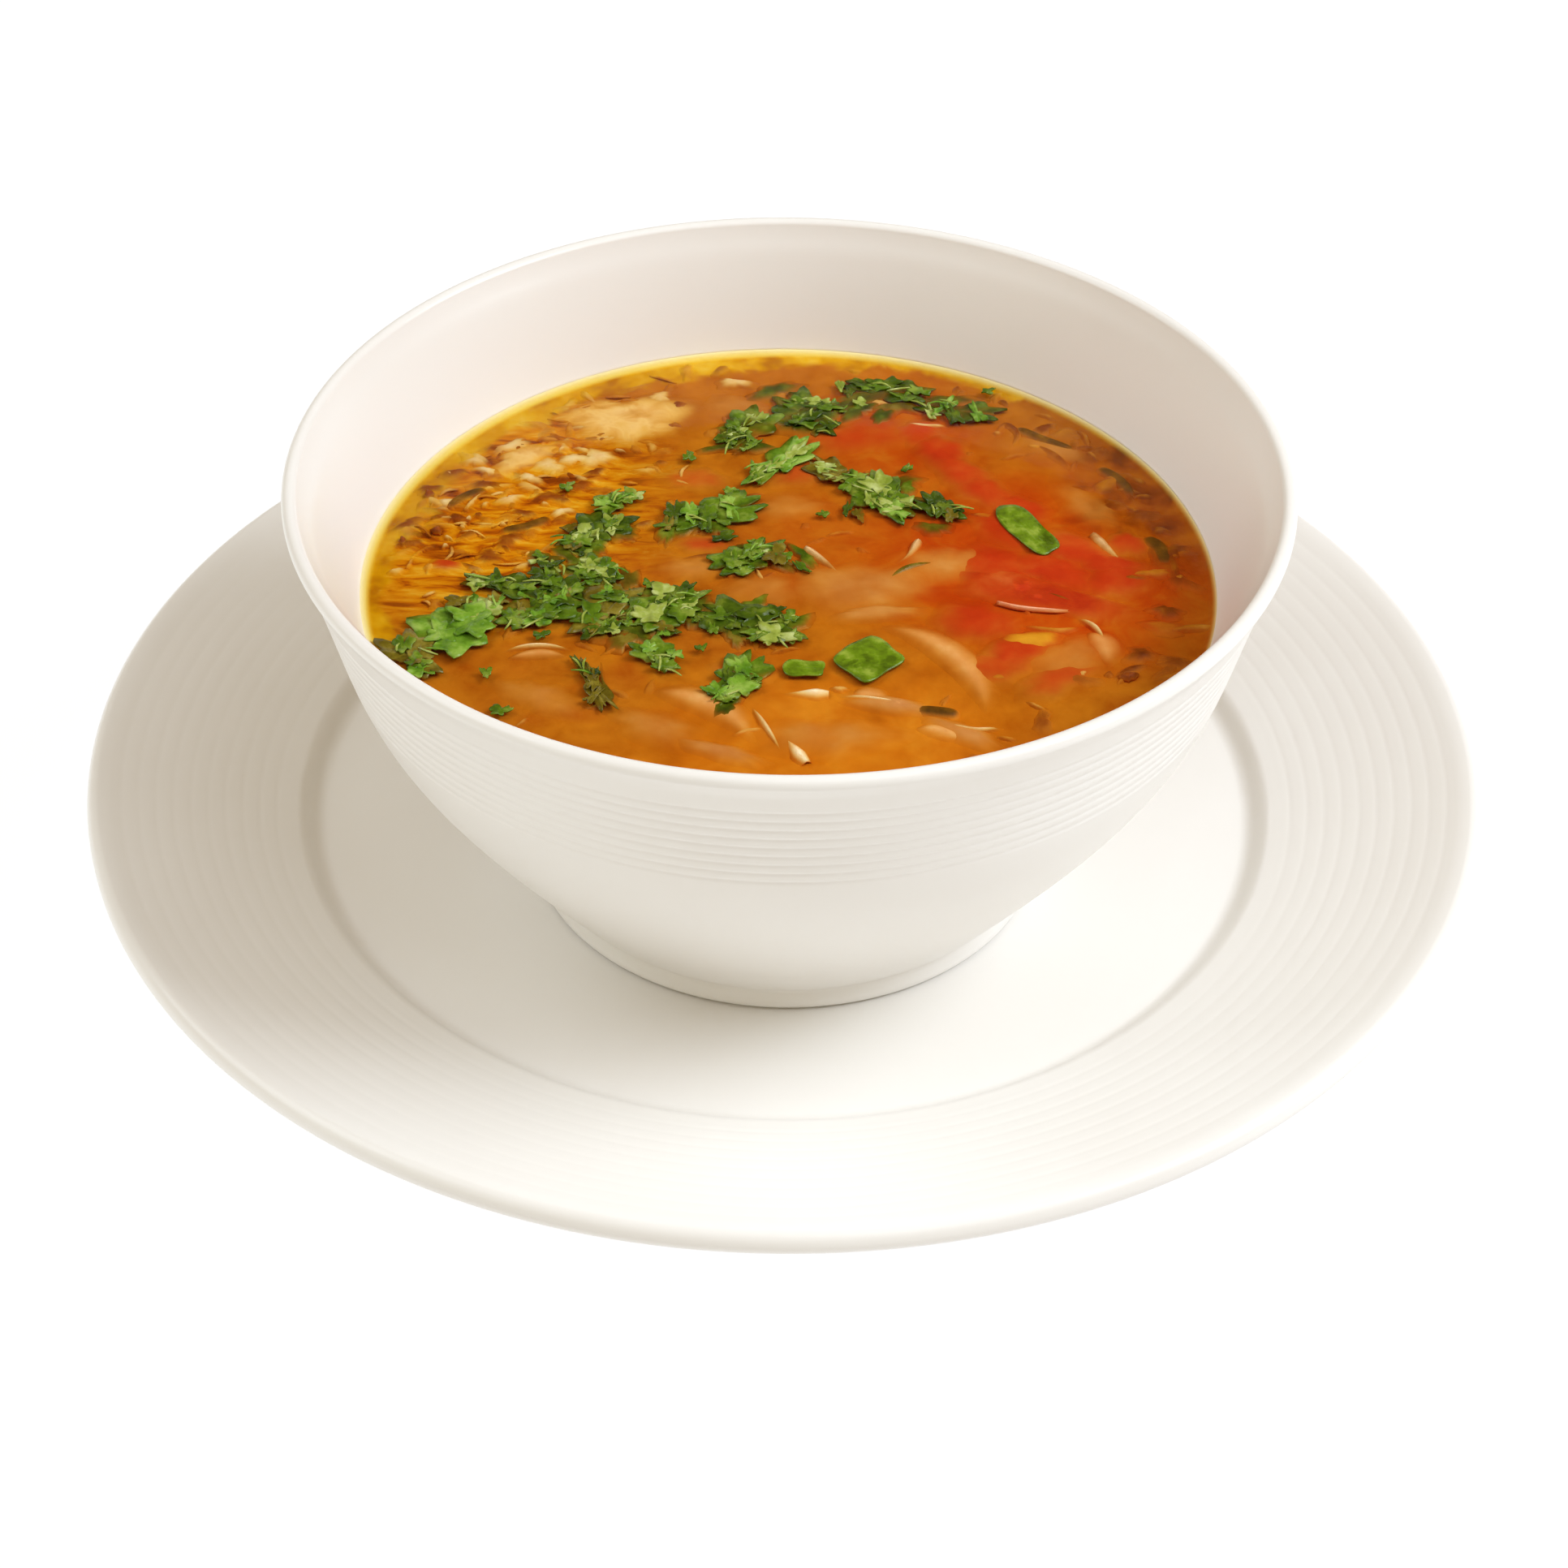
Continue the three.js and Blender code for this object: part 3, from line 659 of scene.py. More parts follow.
def lay_of(node):
    """Middle, turn, length and width of a flat piece, from its solid's own corners."""
    corners = [v.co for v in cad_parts[node].data.vertices]
    centre = middle(node)
    xx = sum((c.x - centre.x) ** 2 for c in corners)
    yy = sum((c.y - centre.y) ** 2 for c in corners)
    xy = sum((c.x - centre.x) * (c.y - centre.y) for c in corners)
    turn = math.atan2(2 * xy, xx - yy) / 2
    along = Vector((math.cos(turn), math.sin(turn), 0))
    across = Vector((-math.sin(turn), math.cos(turn), 0))
    reach = [[(c - centre).dot(axis) for c in corners] for axis in (along, across)]
    length, width = (max(r) - min(r) for r in reach)
    centre += sum(((max(r) + min(r)) / 2 * axis for r, axis in zip(reach, (along, across))), Vector())
    if sum(((c - middle(node)).dot(along)) ** 3 for c in corners) < 0:
        turn += math.pi
    return centre, turn, length, width


def rings_of(node):
    """The rings of corners that a strip's solid is stacked from, found by stepping from end to end."""
    builder = bmesh.new()
    builder.from_mesh(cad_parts[node].data)
    bmesh.ops.remove_doubles(builder, verts=builder.verts, dist=1e-6)
    low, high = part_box(node)
    half = (low[2] + high[2]) / 2
    builder.verts.index_update()
    tips = [v for v in builder.verts if abs(v.co.z - half) < 1e-5]
    seen, front, rings = {tips[0]}, [tips[0]], []
    while front:
        near = {e.other_vert(v) for v in front for e in v.link_edges} - seen
        seen |= near
        front = sorted(near, key=lambda v: v.index)
        if len(front) >= 4:
            rings.append([v.co.copy() for v in front])
    builder.free()
    return rings


def run_of(node):
    """Middle line and half widths of a strip."""
    rings = rings_of(node)
    line = [sum(ring, Vector()) / len(ring) for ring in rings]
    halves = [max((Vector((c.x, c.y, 0)) - Vector((m.x, m.y, 0))).length for c in ring)
              for m, ring in zip(line, rings)]
    return line, halves


def soft(share):
    """Goes from 0 to 1 with the share, level at both ends and no further than 1."""
    share = min(1, share)
    return share * share * (3 - 2 * share)


def saw(turns):
    """A wave of straight slopes between 0 and 1, once a turn."""
    return abs(turns % 1 - 0.5) * 2


ALL_ROUND = 6.28  # radians that a random turn is drawn from
THIN = 0.3  # thickness of the sheets that most pieces are made of


def herb_blade(heap, rng, centre, turn, length, width, slot, curl, ripple, frill, tilt=0.0, teeth=9):
    """One leaf blade, all heights in millimetres: three pointed lobes, toothed, and a little wavy."""
    rings, sides = 4, teeth * 5
    phase = rng.uniform(0, ALL_ROUND)
    skew = rng.uniform(-0.25, 0.25)
    depth = rng.uniform(0.45, 0.7)
    lean = Matrix.Rotation(turn, 3, "Z") @ Matrix.Rotation(tilt, 3, "X")
    grid = []
    for i in range(1, rings + 1):
        share = i / rings
        ring = []
        for k in range(sides):
            angle = 2 * math.pi * k / sides
            lobe = 1 - depth + depth * abs(math.cos(1.5 * angle + skew)) ** 0.7
            tooth = 1 - 0.34 * saw(teeth * angle / math.tau + phase)
            out = share * 1.25 * mix(1, lobe * tooth, share ** 0.8)
            x, y = (out * math.cos(angle) - 0.25) * 1.1, out * math.sin(angle)
            rise = curl * x * x + ripple * out * math.sin(3 * angle + phase)
            rise += frill * share * math.sin(7 * angle + phase * 2) - 0.8 * frill * math.exp(-(y / 0.12) ** 2)
            ring.append(centre + lean @ Vector((x * length / 2, y * width / 2, rise * MM)))
        grid.append(ring)
    heap.disc(centre.copy(), grid, slot, thickness=0.25 * MM)


def patch(heap, rng, x, y, length, width, turn, slot, top, sink, bumps=0.12, relief_mm=0.12, power=1.5,
          rings=9, sides=36):
    """A soft rounded piece lying flat in the broth: its top at one height, its edge sunk."""
    phase = [rng.uniform(0, ALL_ROUND) for _ in range(3)]
    seed = rng.uniform(0, 100)
    c, s = math.cos(math.radians(turn)), math.sin(math.radians(turn))
    grid = []
    for i in range(1, rings + 1):
        share = i / rings
        ring = []
        for k in range(sides):
            angle = 2 * math.pi * k / sides
            uneven = 1 + bumps * (math.sin(2 * angle + phase[0]) + 0.7 * math.sin(3 * angle + phase[1])
                                  + 0.5 * math.sin(7 * angle + phase[2]))
            u = share * uneven * length / 2 * math.cos(angle)
            v = share * uneven * width / 2 * math.sin(angle)
            px, py = x + u * c - v * s, y + u * s + v * c
            height = top - (top + sink) * soft(share ** power)
            height += relief_mm * noise.noise(Vector((px, py, seed)) / 2.5) * (1 - share ** 4)
            ring.append(in_bowl(px, py, height))
        grid.append(ring)
    heap.disc(in_bowl(x, y, top), grid, slot, thickness=min(1.0, width / 4) * MM)


FLAKE_STANDS = 0.2  # a flake's top is higher than this above the broth
FLAKES_APART = 5  # corners nearer than this belong to one flake
HERBS_WITHIN = 50  # the flakes less far than this to the side are herb, and the others are fried onion


def soup_flakes():
    """Middle and size, in millimetres, of each small flake that is one with the broth's solid."""
    proud = [v.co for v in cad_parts["soup"].data.vertices if v.co.z > LEVEL + FLAKE_STANDS * MM]
    groups = []
    for point in proud:
        near = [g for g in groups if (g[0] - point).length < FLAKES_APART * MM]
        if near:
            near[0].append(point)
        else:
            groups.append([point])
    out = []
    for group in groups:
        centre = sum(group, Vector()) / len(group)
        reach = max((p - centre).length for p in group)
        out.append(((centre.x - BOWL_FOOT.x) / MM, (centre.y - BOWL_FOOT.y) / MM, 2 * reach / MM))
    return out


# ------------------------------------------------------------------ build
PORCELAIN = glazed_porcelain()
plate = turned("porcelain_plate", plate_profile(), PLATE_FOOT, PORCELAIN)
bowl = turned("porcelain_bowl", bowl_profile(), BOWL_FOOT, PORCELAIN)
broth = turned("broth", broth_profile(), BOWL_FOOT, clear_broth(), sides=180)
pulp_piece = pulp_bed(cooked_pulp())


def nodes_named(start):
    return sorted(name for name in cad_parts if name.startswith(start))


def shown(piece, slot, *nodes):
    """Puts a piece into the object and hides the solids that it stands for. Its finish, the slot, is not
    used.
    """
    if nodes:
        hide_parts(*nodes)
    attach(piece, "root")


shown(plate, "porcelain", "plate")
shown(bowl, "porcelain", "bowl")
shown(broth, "broth", "soup")
shown(pulp_piece, "broth")

# Greens of the chopped parsley, from the palest to the darkest. The palest is partly paler leaf parts and
# stalks, and partly painted highlight, the glint on wet leaves.
PALE, BRIGHT, FRESH, DEEP, OLIVE = range(5)
HERB_GREENS = [
    leaf_material("parsley_pale_underside_and_glint", "#84942C", "#A8B64C", "#CED888"),
    leaf_material("parsley_young", "#568216", "#7EA82E", "#AAC858"),
    leaf_material("parsley_fresh", "#48640A", "#668416", "#94A83C"),
    leaf_material("parsley_deep", "#344A06", "#4E640C", "#748422"),
    leaf_material("parsley_wilted", "#64540C", "#7E6E18", "#9C8C34"),
]

# The greens of each leaf in the order of their names: its own blade, then the smaller ones on top. A small
# blade in the palest green is partly a painted highlight.
LEAF_GREENS = [
    (BRIGHT, BRIGHT, PALE), (OLIVE, FRESH, BRIGHT), (DEEP, FRESH, PALE), (FRESH, BRIGHT, FRESH),
    (DEEP, FRESH, DEEP), (FRESH, PALE, DEEP), (DEEP, PALE, FRESH), (FRESH, BRIGHT, PALE),
    (OLIVE, FRESH, DEEP), (FRESH, PALE, DEEP), (DEEP, FRESH, PALE), (FRESH, BRIGHT, FRESH),
    (OLIVE, OLIVE, DEEP), (FRESH, BRIGHT, BRIGHT), (FRESH, BRIGHT, DEEP), (FRESH, FRESH, OLIVE),
    (BRIGHT, PALE, FRESH), (FRESH, PALE, DEEP), (DEEP, FRESH, DEEP), (DEEP, FRESH, DEEP),
    (DEEP, BRIGHT, PALE), (OLIVE, PALE, FRESH), (FRESH, PALE, BRIGHT), (DEEP, DEEP, OLIVE),
]

# Where single small leaflets lie between the large leaves: middle, reach and number.
LOOSE_HERBS = [
    (-42, -9, 9, 4, 12), (-30, -7, 8, 5, 12), (-18, -11, 9, 4, 12), (-5, -14, 9, 4, 10),
    (-33, 9, 6, 8, 7), (-14, 14, 8, 5, 7), (-5, 3, 8, 4, 7), (-8, 40, 5, 7, 7), (8, 50, 12, 5, 10),
    (14, 24, 8, 6, 8), (-9, -31, 3, 5, 4), (-36, 3, 7, 6, 8), (-24, -15, 9, 3, 8),
]

BACK_HERBS = 35  # the leaves further back than this float lower, as the photograph shows them softer

# Leaves below the surface, partly painted shade under the clusters: middle, length and width.
SUNK_LEAVES_AND_SHADE = [
    (2, 46, 17, 9), (12, 53, 19, 8), (-3, 56, 12, 6), (27, 53, 14, 6), (18, 27, 12, 6), (24, 14, 8, 5),
]


def sunk_herbs_and_shade(heap, rng):
    """Leaves under the leaves, already below the surface: soft and dark. They are partly sunk leaves and
    partly painted shade under and between the floating leaves.
    """
    for x, y, length, width in SUNK_LEAVES_AND_SHADE:
        patch(heap, rng, x, y, length, width, rng.uniform(-30, 30), DEEP, -0.2, 1.0, bumps=0.2, power=2,
              rings=6)
    for x, y, wide, deep, count in LOOSE_HERBS:
        for _ in range(count * 2 // 3):
            patch(heap, rng, rng.gauss(x, wide / 2), rng.gauss(y, deep / 2), rng.uniform(6, 11),
                  rng.uniform(3, 6), rng.uniform(0, 180), rng.choice((DEEP, FRESH, OLIVE)), -0.12, 1.0,
                  bumps=0.28, power=2.6, rings=6, sides=20)


def herb_leaf(heap, rng, node, greens):
    """A chopped leaf: its own blade, smaller ones on top and a few bits of stalk."""
    centre, turn, length, width = lay_of(node)
    far = centre.y > BOWL_FOOT.y + BACK_HERBS * MM
    centre.z = LEVEL + (-0.25 if far else 0) * MM
    along = Vector((math.cos(turn), math.sin(turn), 0))
    across = Vector((-math.sin(turn), math.cos(turn), 0))
    herb_blade(heap, rng, centre, turn, length * 1.06, width * 1.12, greens[0], 0.12, 0.2, 0.16,
               rng.uniform(-0.04, 0.04))
    for spread, green in zip((-0.3, 0.28, 0.0, 0.12), greens[1:] + greens[:2]):
        spot = centre + along * length * spread + across * width * rng.uniform(-0.26, 0.26)
        spot.z += rng.uniform(0.1, 0.4) * MM
        herb_blade(heap, rng, spot, turn + rng.uniform(-1.4, 1.4), length * rng.uniform(0.32, 0.5),
                   width * rng.uniform(0.4, 0.7), green, 0.15, 0.25, 0.16, rng.uniform(-0.2, 0.2), teeth=7)
    for _ in range(3):
        start = centre + along * length * rng.uniform(-0.4, 0.4) + across * width * rng.uniform(-0.3, 0.3)
        reach = rng.uniform(2.0, 4.5) * MM
        way = turn + rng.uniform(-0.9, 0.9)
        end = start + Vector((math.cos(way), math.sin(way), 0)) * reach
        start.z = end.z = LEVEL + rng.uniform(0.15, 0.45) * MM
        bend = start.lerp(end, 0.5) + across * rng.uniform(-0.5, 0.5) * MM + Vector((0, 0, 0.3 * MM))
        stalk = smooth_line([start, bend, end], 5)
        heap.rod(stalk, 0.42 * MM, 0.3 * MM, rng.choice((PALE, PALE, BRIGHT)))


def loose_leaflets(heap, rng):
    greens = (PALE, BRIGHT, FRESH, FRESH, DEEP, DEEP, OLIVE)
    for x, y, wide, deep, count in LOOSE_HERBS:
        for _ in range(count):
            spot = in_bowl(rng.gauss(x, wide / 2), rng.gauss(y, deep / 2), rng.uniform(-0.2, 0.3))
            herb_blade(heap, rng, spot, rng.uniform(0, ALL_ROUND), rng.uniform(2.2, 4.6) * MM,
                       rng.uniform(1.4, 3.0) * MM, rng.choice(greens), 0.15, 0.15, 0.1,
                       rng.uniform(-0.2, 0.2), teeth=6)
    for x, y, size in soup_flakes():
        if abs(x) < HERBS_WITHIN:
            herb_blade(heap, rng, in_bowl(x, y, 0.25), rng.uniform(0, ALL_ROUND), size * 1.3 * MM, size * MM,
                       FRESH, 0.1, 0.15, 0.1, teeth=6)


def parsley():
    heap = Heap("parsley_leaves", HERB_GREENS)
    for index, (node, greens) in enumerate(zip(nodes_named("parsley"), LEAF_GREENS)):
        herb_leaf(heap, random.Random(100 + index), node, greens)
    rng = random.Random(5)
    sunk_herbs_and_shade(heap, rng)
    loose_leaflets(heap, rng)
    return heap.build()


shown(parsley(), "parsley", *nodes_named("parsley"))

CUT_GREEN = leaf_material("scallion_green", "#4E6408", "#6E8C12", "#9AAE3C", clear=0.1)


def scallions():
    """Short cuts of a hollow green leaf, opened flat: smooth, with fine lengthwise ridges."""
    heap = Heap("scallion_cuts", [CUT_GREEN])
    for index, node in enumerate(nodes_named("scallion")):
        centre, turn, length, width = lay_of(node)
        centre.z = LEVEL + 0.05 * MM
        rings, sides, squareness = 8, 48, (7, 4, 3.4)[index]
        lean = Matrix.Rotation(turn, 3, "Z")
        grid = []
        for i in range(1, rings + 1):
            ring = []
            for k in range(sides):
                angle = 2 * math.pi * k / sides
                corner = abs(math.cos(angle)) ** squareness + abs(math.sin(angle)) ** squareness
                uneven = 1 + 0.05 * math.sin(2 * angle + index) + 0.035 * math.sin(5 * angle + 2 * index)
                out = i / rings / corner ** (1 / squareness) * uneven
                x, y = out * math.cos(angle), out * math.sin(angle)
                rise = 0.1 * x * x + 0.03 * math.sin(y * 22) + 0.1 * math.sin(3 * x + 2 * y + index)
                ring.append(centre + lean @ Vector((x * length / 2, y * width / 2, rise * MM)))
            grid.append(ring)
        heap.disc(centre.copy(), grid, 0, thickness=THIN * MM)
    return heap.build()


shown(scallions(), "scallion", *nodes_named("scallion"))

ONION_BAND = sunk_material("boiled_onion", 5, [(0.35, "#E8A468"), (0.55, "#F0B47C"), (0.75, "#F8CC9C")])
ONION_TIP = sunk_material("onion_tip", 4, [(0.35, "#FAD49C"), (0.6, "#FFF2D0")])
ONION_SLIVER = sunk_material("onion_sliver", 4, [(0.35, "#CC9052"), (0.6, "#E2B880")])

# The narrow strips that stand out pale, each with the share of its length that is highest and brightest, and
# its material slot. The wide ones lie flush and show through the broth.
NARROW = {
    "onion_04": (0.75, 1), "onion_06": (0.1, 2), "onion_07": (0.88, 2), "onion_08": (0.15, 2),
    "onion_10": (0.75, 1),
}

EDGE_SINK = 1.1  # how deep the edges of a piece go, to where the pulp hides them


def onion_strips():
    heap = Heap("boiled_onion_strips", [ONION_BAND, ONION_TIP, ONION_SLIVER])
    steps = 26
    for node in nodes_named("onion"):
        line, halves = run_of(node)
        line = smooth_line(line, steps)
        half = max(halves)
        for p in line:
            p.z = LEVEL
        if node in NARROW:
            peak, slot = NARROW[node]
            taper = [half * (1.5 - 0.7 * abs(i / steps - peak)) for i in range(steps + 1)]
            heap.ribbon(line, taper, 0.05 * MM, EDGE_SINK * MM, slot, THIN * MM, power=1.4, ends=1.3,
                        peak=peak)
            continue
        heap.ribbon(line, [half * 1.3] * (steps + 1), -0.12 * MM, EDGE_SINK * MM, 0, THIN * MM, across=21,
                    power=1.6, ends=2.2, lean=0.3 * MM, ridge=0.05 * MM)
    return heap.build()


shown(onion_strips(), "onion", *nodes_named("onion"))

BROWNED = sunk_material("fried_onion", 3, [(0.35, "#5E3A06"), (0.55, "#7E500A"), (0.75, "#A06A18")])


def browned_strips():
    heap = Heap("fried_onion_strips", [BROWNED])
    for node in nodes_named("browned"):
        line, halves = run_of(node)
        line = smooth_line(line, 20)
        wide = max(halves)
        for p in line:
            p.z = LEVEL
        heap.ribbon(line, [wide * 1.15] * 21, -0.03 * MM, EDGE_SINK * MM, 0, THIN * MM, power=2.2, ends=4)
    return heap.build()


shown(browned_strips(), "browned_onion", *nodes_named("browned"))

POTATO = sunk_material("boiled_potato", 6, [
    (0.32, "#D6963A"), (0.44, "#EAB45E"), (0.56, "#F6CE84"), (0.7, "#F0C26E")], 0.8)
TOMATO = sunk_material("stewed_tomato", 6, [(0.3, "#BC300A"), (0.5, "#CA420E"), (0.75, "#D6662A")], 0.5)
# orange is the skin's own colour; the pale pink is a painted highlight on the wet curled edge
TOMATO_SKIN_AND_HIGHLIGHT = wet_material("tomato_skin_and_highlight", 5, [(0.3, "#E87840"), (0.7, "#FFC09A")])

LUMP_SPREAD = 1.3  # a lump's sunk edge reaches this much further out than its solid


def chunk(node, name, material, slot, top, power, relief_mm):
    """A cooked lump in its solid's place: its broken top level with the broth, its edge lost in it."""
    heap = Heap(name, [material])
    rng = random.Random(node)
    centre, turn, length, width = lay_of(node)
    x, y = (centre.x - BOWL_FOOT.x) / MM, (centre.y - BOWL_FOOT.y) / MM
    patch(heap, rng, x, y, length / MM * LUMP_SPREAD, width / MM * LUMP_SPREAD, math.degrees(turn), 0, top,
          sink=EDGE_SINK, bumps=0.16, relief_mm=relief_mm, power=power)
    shown(heap.build(), slot, node)


for node in nodes_named("potato"):
    chunk(node, "boiled_" + node, POTATO, "potato", -0.07, 2.1, relief_mm=0.07)
chunk("tomato", "tomato_wedge", TOMATO, "tomato", -0.02, 2.2, relief_mm=0.12)


def tomato_skin_and_highlight():
    """The wedge's skin, curled up into a thin bright edge on the diner's side: its palest colour is a painted
    highlight along that edge.
    """
    heap = Heap("tomato_skin_edge", [TOMATO_SKIN_AND_HIGHLIGHT])
    line = [in_bowl(x, y) for x, y in ((33.6, -7.2), (36.4, -8.4), (39.4, -9.0), (43.0, -9.2), (46.6, -9.0))]
    line = smooth_line(line, 24)
    heap.ribbon(line, [0.42 * MM] * 25, 0.12 * MM, 0.4 * MM, 0, 0.25 * MM, across=7, ends=2, peak=0.35)
    return heap.build()


shown(tomato_skin_and_highlight(), "tomato")

# ------------------------------------------------------------------ what lies sunk in the broth
SUNK_ONION = sunk_material("boiled_onion_sunk", 8, [(0.35, "#CC8240"), (0.6, "#DA9A58"), (0.8, "#E8B478")])
SUNK_TOMATO = sunk_material("tomato_flesh_sunk", 8, [(0.3, "#C02C08"), (0.5, "#CC3A0E"), (0.7, "#D4561C")])
CARROT = sunk_material("grated_carrot", 4, [(0.3, "#B86A14"), (0.5, "#CE8420"), (0.7, "#E6AC50")])
FRIED = sunk_material("fried_onion_crumb", 3, [(0.3, "#7C3402"), (0.5, "#984804"), (0.7, "#B46A10")])
CREAM = sunk_material("potato_crumb", 3, [(0.3, "#EBBE78"), (0.6, "#F4D8A2")])
PEPPER = sunk_material("sweet_pepper_sunk", 6, [(0.3, "#D48E1A"), (0.6, "#E8AA30")])

# Pale onion petals and red tomato flesh under the surface: middle, length, width, turn, and the height of
# the top, which SHOWN_DEPTH scales.
PETALS = [
    (12, -3, 30, 20, 10, -0.7), (26, 4, 22, 15, 35, -1.0), (-4, -4, 18, 14, -20, -1.2),
    (50, 21, 22, 12, -55, -1.2), (-20, -40, 20, 9, -20, -1.0), (6, -42, 30, 12, -4, -1.1),
    (44, -22, 20, 16, 30, -1.2), (-38, -33, 18, 10, -30, -1.1), (-16, 2, 16, 10, 20, -1.2),
    (0, 20, 20, 10, 10, -1.3), (-8, 50, 18, 10, -10, -1.2), (46, 38, 16, 8, -35, -0.9),
    (16, -34, 22, 5, -15, -0.2), (27, -41, 16, 6, -30, -0.3), (-10, -46, 18, 5, -25, -0.4),
    (14, -10, 20, 5, 5, -0.5),
]
RED_PATCHES = [
    (34, 3, 17, 12, -20, -0.5), (43, 2, 18, 11, -15, -0.3), (53, 0, 13, 10, 60, -0.3),
    (56, 10, 7, 8, 20, -0.4), (33, -24, 14, 10, 20, -0.9), (42, -27, 15, 8, 30, -1.0),
    (12, 42, 22, 12, 5, -1.0), (22, 43, 9, 8, 0, -0.4), (29, 31, 15, 9, -45, -0.5),
    (33, 25, 14, 9, -50, -0.6), (36, 14, 16, 10, -60, -0.9), (-16, 28, 12, 8, 0, -1.2),
    (26, 37, 12, 10, -40, -0.4), (38, 20, 12, 8, -50, -0.4), (47, 8, 16, 10, -20, -0.3),
    (30, -12, 13, 12, -30, -0.6), (52, 4, 12, 8, -10, -0.2), (36, -20, 12, 9, 20, -0.5),
    (-7, -26, 12, 7, 0, -1.3), (-14, 9, 10, 6, 10, -1.0), (2, 30, 14, 8, 20, -1.1),
    (-56, 2, 6, 4, 0, -0.6),
]
SHOWN_DEPTH = 0.3


def sunk_patches():
    heap = Heap("sunk_vegetables", [SUNK_ONION, SUNK_TOMATO, PEPPER])
    rng = random.Random(7)
    for x, y, length, width, turn, top in PETALS:
        patch(heap, rng, x, y, length * 1.15, width * 1.15, turn, 0, top * SHOWN_DEPTH, sink=EDGE_SINK)
    for x, y, length, width, turn, top in RED_PATCHES:
        patch(heap, rng, x, y, length * 1.4, width * 1.4, turn, 1, top * SHOWN_DEPTH, sink=EDGE_SINK)
    patch(heap, rng, 38.5, -17, 14, 8, 0, 2, -0.1, sink=EDGE_SINK)
    return heap.build()


# Single thin pieces that show through the broth, and two dark lines of painted shade: slot, width, height of
# the top, then the points that they run through.
SUNK_AND_SHADE_LINES = [
    (1, 2.0, -0.2, (40.7, 40.8), (45.3, 36.6), (48.8, 30.6)),
    (1, 1.4, -0.2, (52.7, 34.4), (56.3, 28.0), (58.6, 19.8)),
    (1, 1.4, -0.1, (35.3, 42.8), (37.4, 45.9), (39.5, 42.9), (37.7, 37.7)),
    (1, 2.4, -0.2, (60.7, 14.6), (62.9, 4.3), (63.0, -3.5)),
    # painted shade: an olive line of shade beside the onion petal in the middle
    (4, 1.6, 0.0, (15.0, -2.6), (19.4, 2.4), (25.6, 4.4)),
    # painted shadow: the dark line behind the tomato skin's curled edge
    (1, 1.8, 0.0, (38.6, -4.2), (43.3, -5.4), (48.0, -8.8)),
    (1, 2.0, -0.1, (50.4, -27.4), (53.6, -24.6), (57.2, -22.6)),
    (4, 1.3, 0.0, (-29.3, -22.9), (-28.8, -28.9), (-27.8, -32.0), (-29.5, -35.3), (-32.8, -34.8)),
    (1, 1.6, -0.2, (-20.0, 3.4), (-12.8, 5.4), (-6.6, 4.0)),
    (2, 1.2, 0.0, (-5.8, -34.1), (-3.3, -39.8), (-0.4, -46.9)),
    (2, 1.0, 0.05, (7.3, -31.8), (13.6, -32.9), (19.4, -34.4)),
    (2, 0.9, 0.05, (-45.4, -21.2), (-39.6, -19.9), (-33.4, -20.6)),
    (2, 1.2, 0.0, (46.0, -10.6), (48.9, -13.4), (50.6, -18.0)),
    (2, 0.9, 0.0, (22.8, -38.2), (28.6, -40.2), (33.4, -39.4)),
    (0, 1.4, -0.1, (36.4, -12.6), (42.6, -14.4), (47.4, -13.0)),
    (2, 0.8, 0.05, (19.4, 46.2), (23.8, 44.8), (28.0, 45.4)),
]

# Single crumbs, dark fried ones and pale broken potato, by material slot: middle and size.
SPOTS = {
    1: [
        (-51.4, 25.4, 4), (-63.0, 13.6, 4), (-60.6, 24.0, 3.4), (-57.0, 29.0, 3), (-62.0, 8.0, 2.6),
        (-40.0, 22.0, 4), (-35.5, 25.5, 3.6), (-44.0, 17.0, 3), (-46.0, 9.4, 4.4), (-33.0, 29.5, 3),
        (-55.0, 15.5, 2.8), (-19.4, 51.0, 2.6), (-20.0, 44.4, 2), (-49.0, 4.5, 4), (55.5, -20.5, 4),
        (60.8, -9.0, 4), (63.4, 8.0, 4), (44.0, 44.5, 3),
    ],
    2: [
        (-47.5, 37.4, 5), (-51.4, 29.6, 3), (-41.0, 31.5, 5), (-36.5, 33.5, 5), (-44.0, 27.5, 3.6),
        (-53.6, 32.6, 3), (-33.0, 34.0, 6), (-47.0, 21.0, 3.4), (-57.5, 20.0, 2.6), (-38.0, 17.5, 3),
        (-23.0, 53.5, 4), (-10.0, 58.5, 4),
    ],
}

CRUMBS_WITHIN = 71  # the golden ring is free of crumbs: they keep this near to its circle's middle


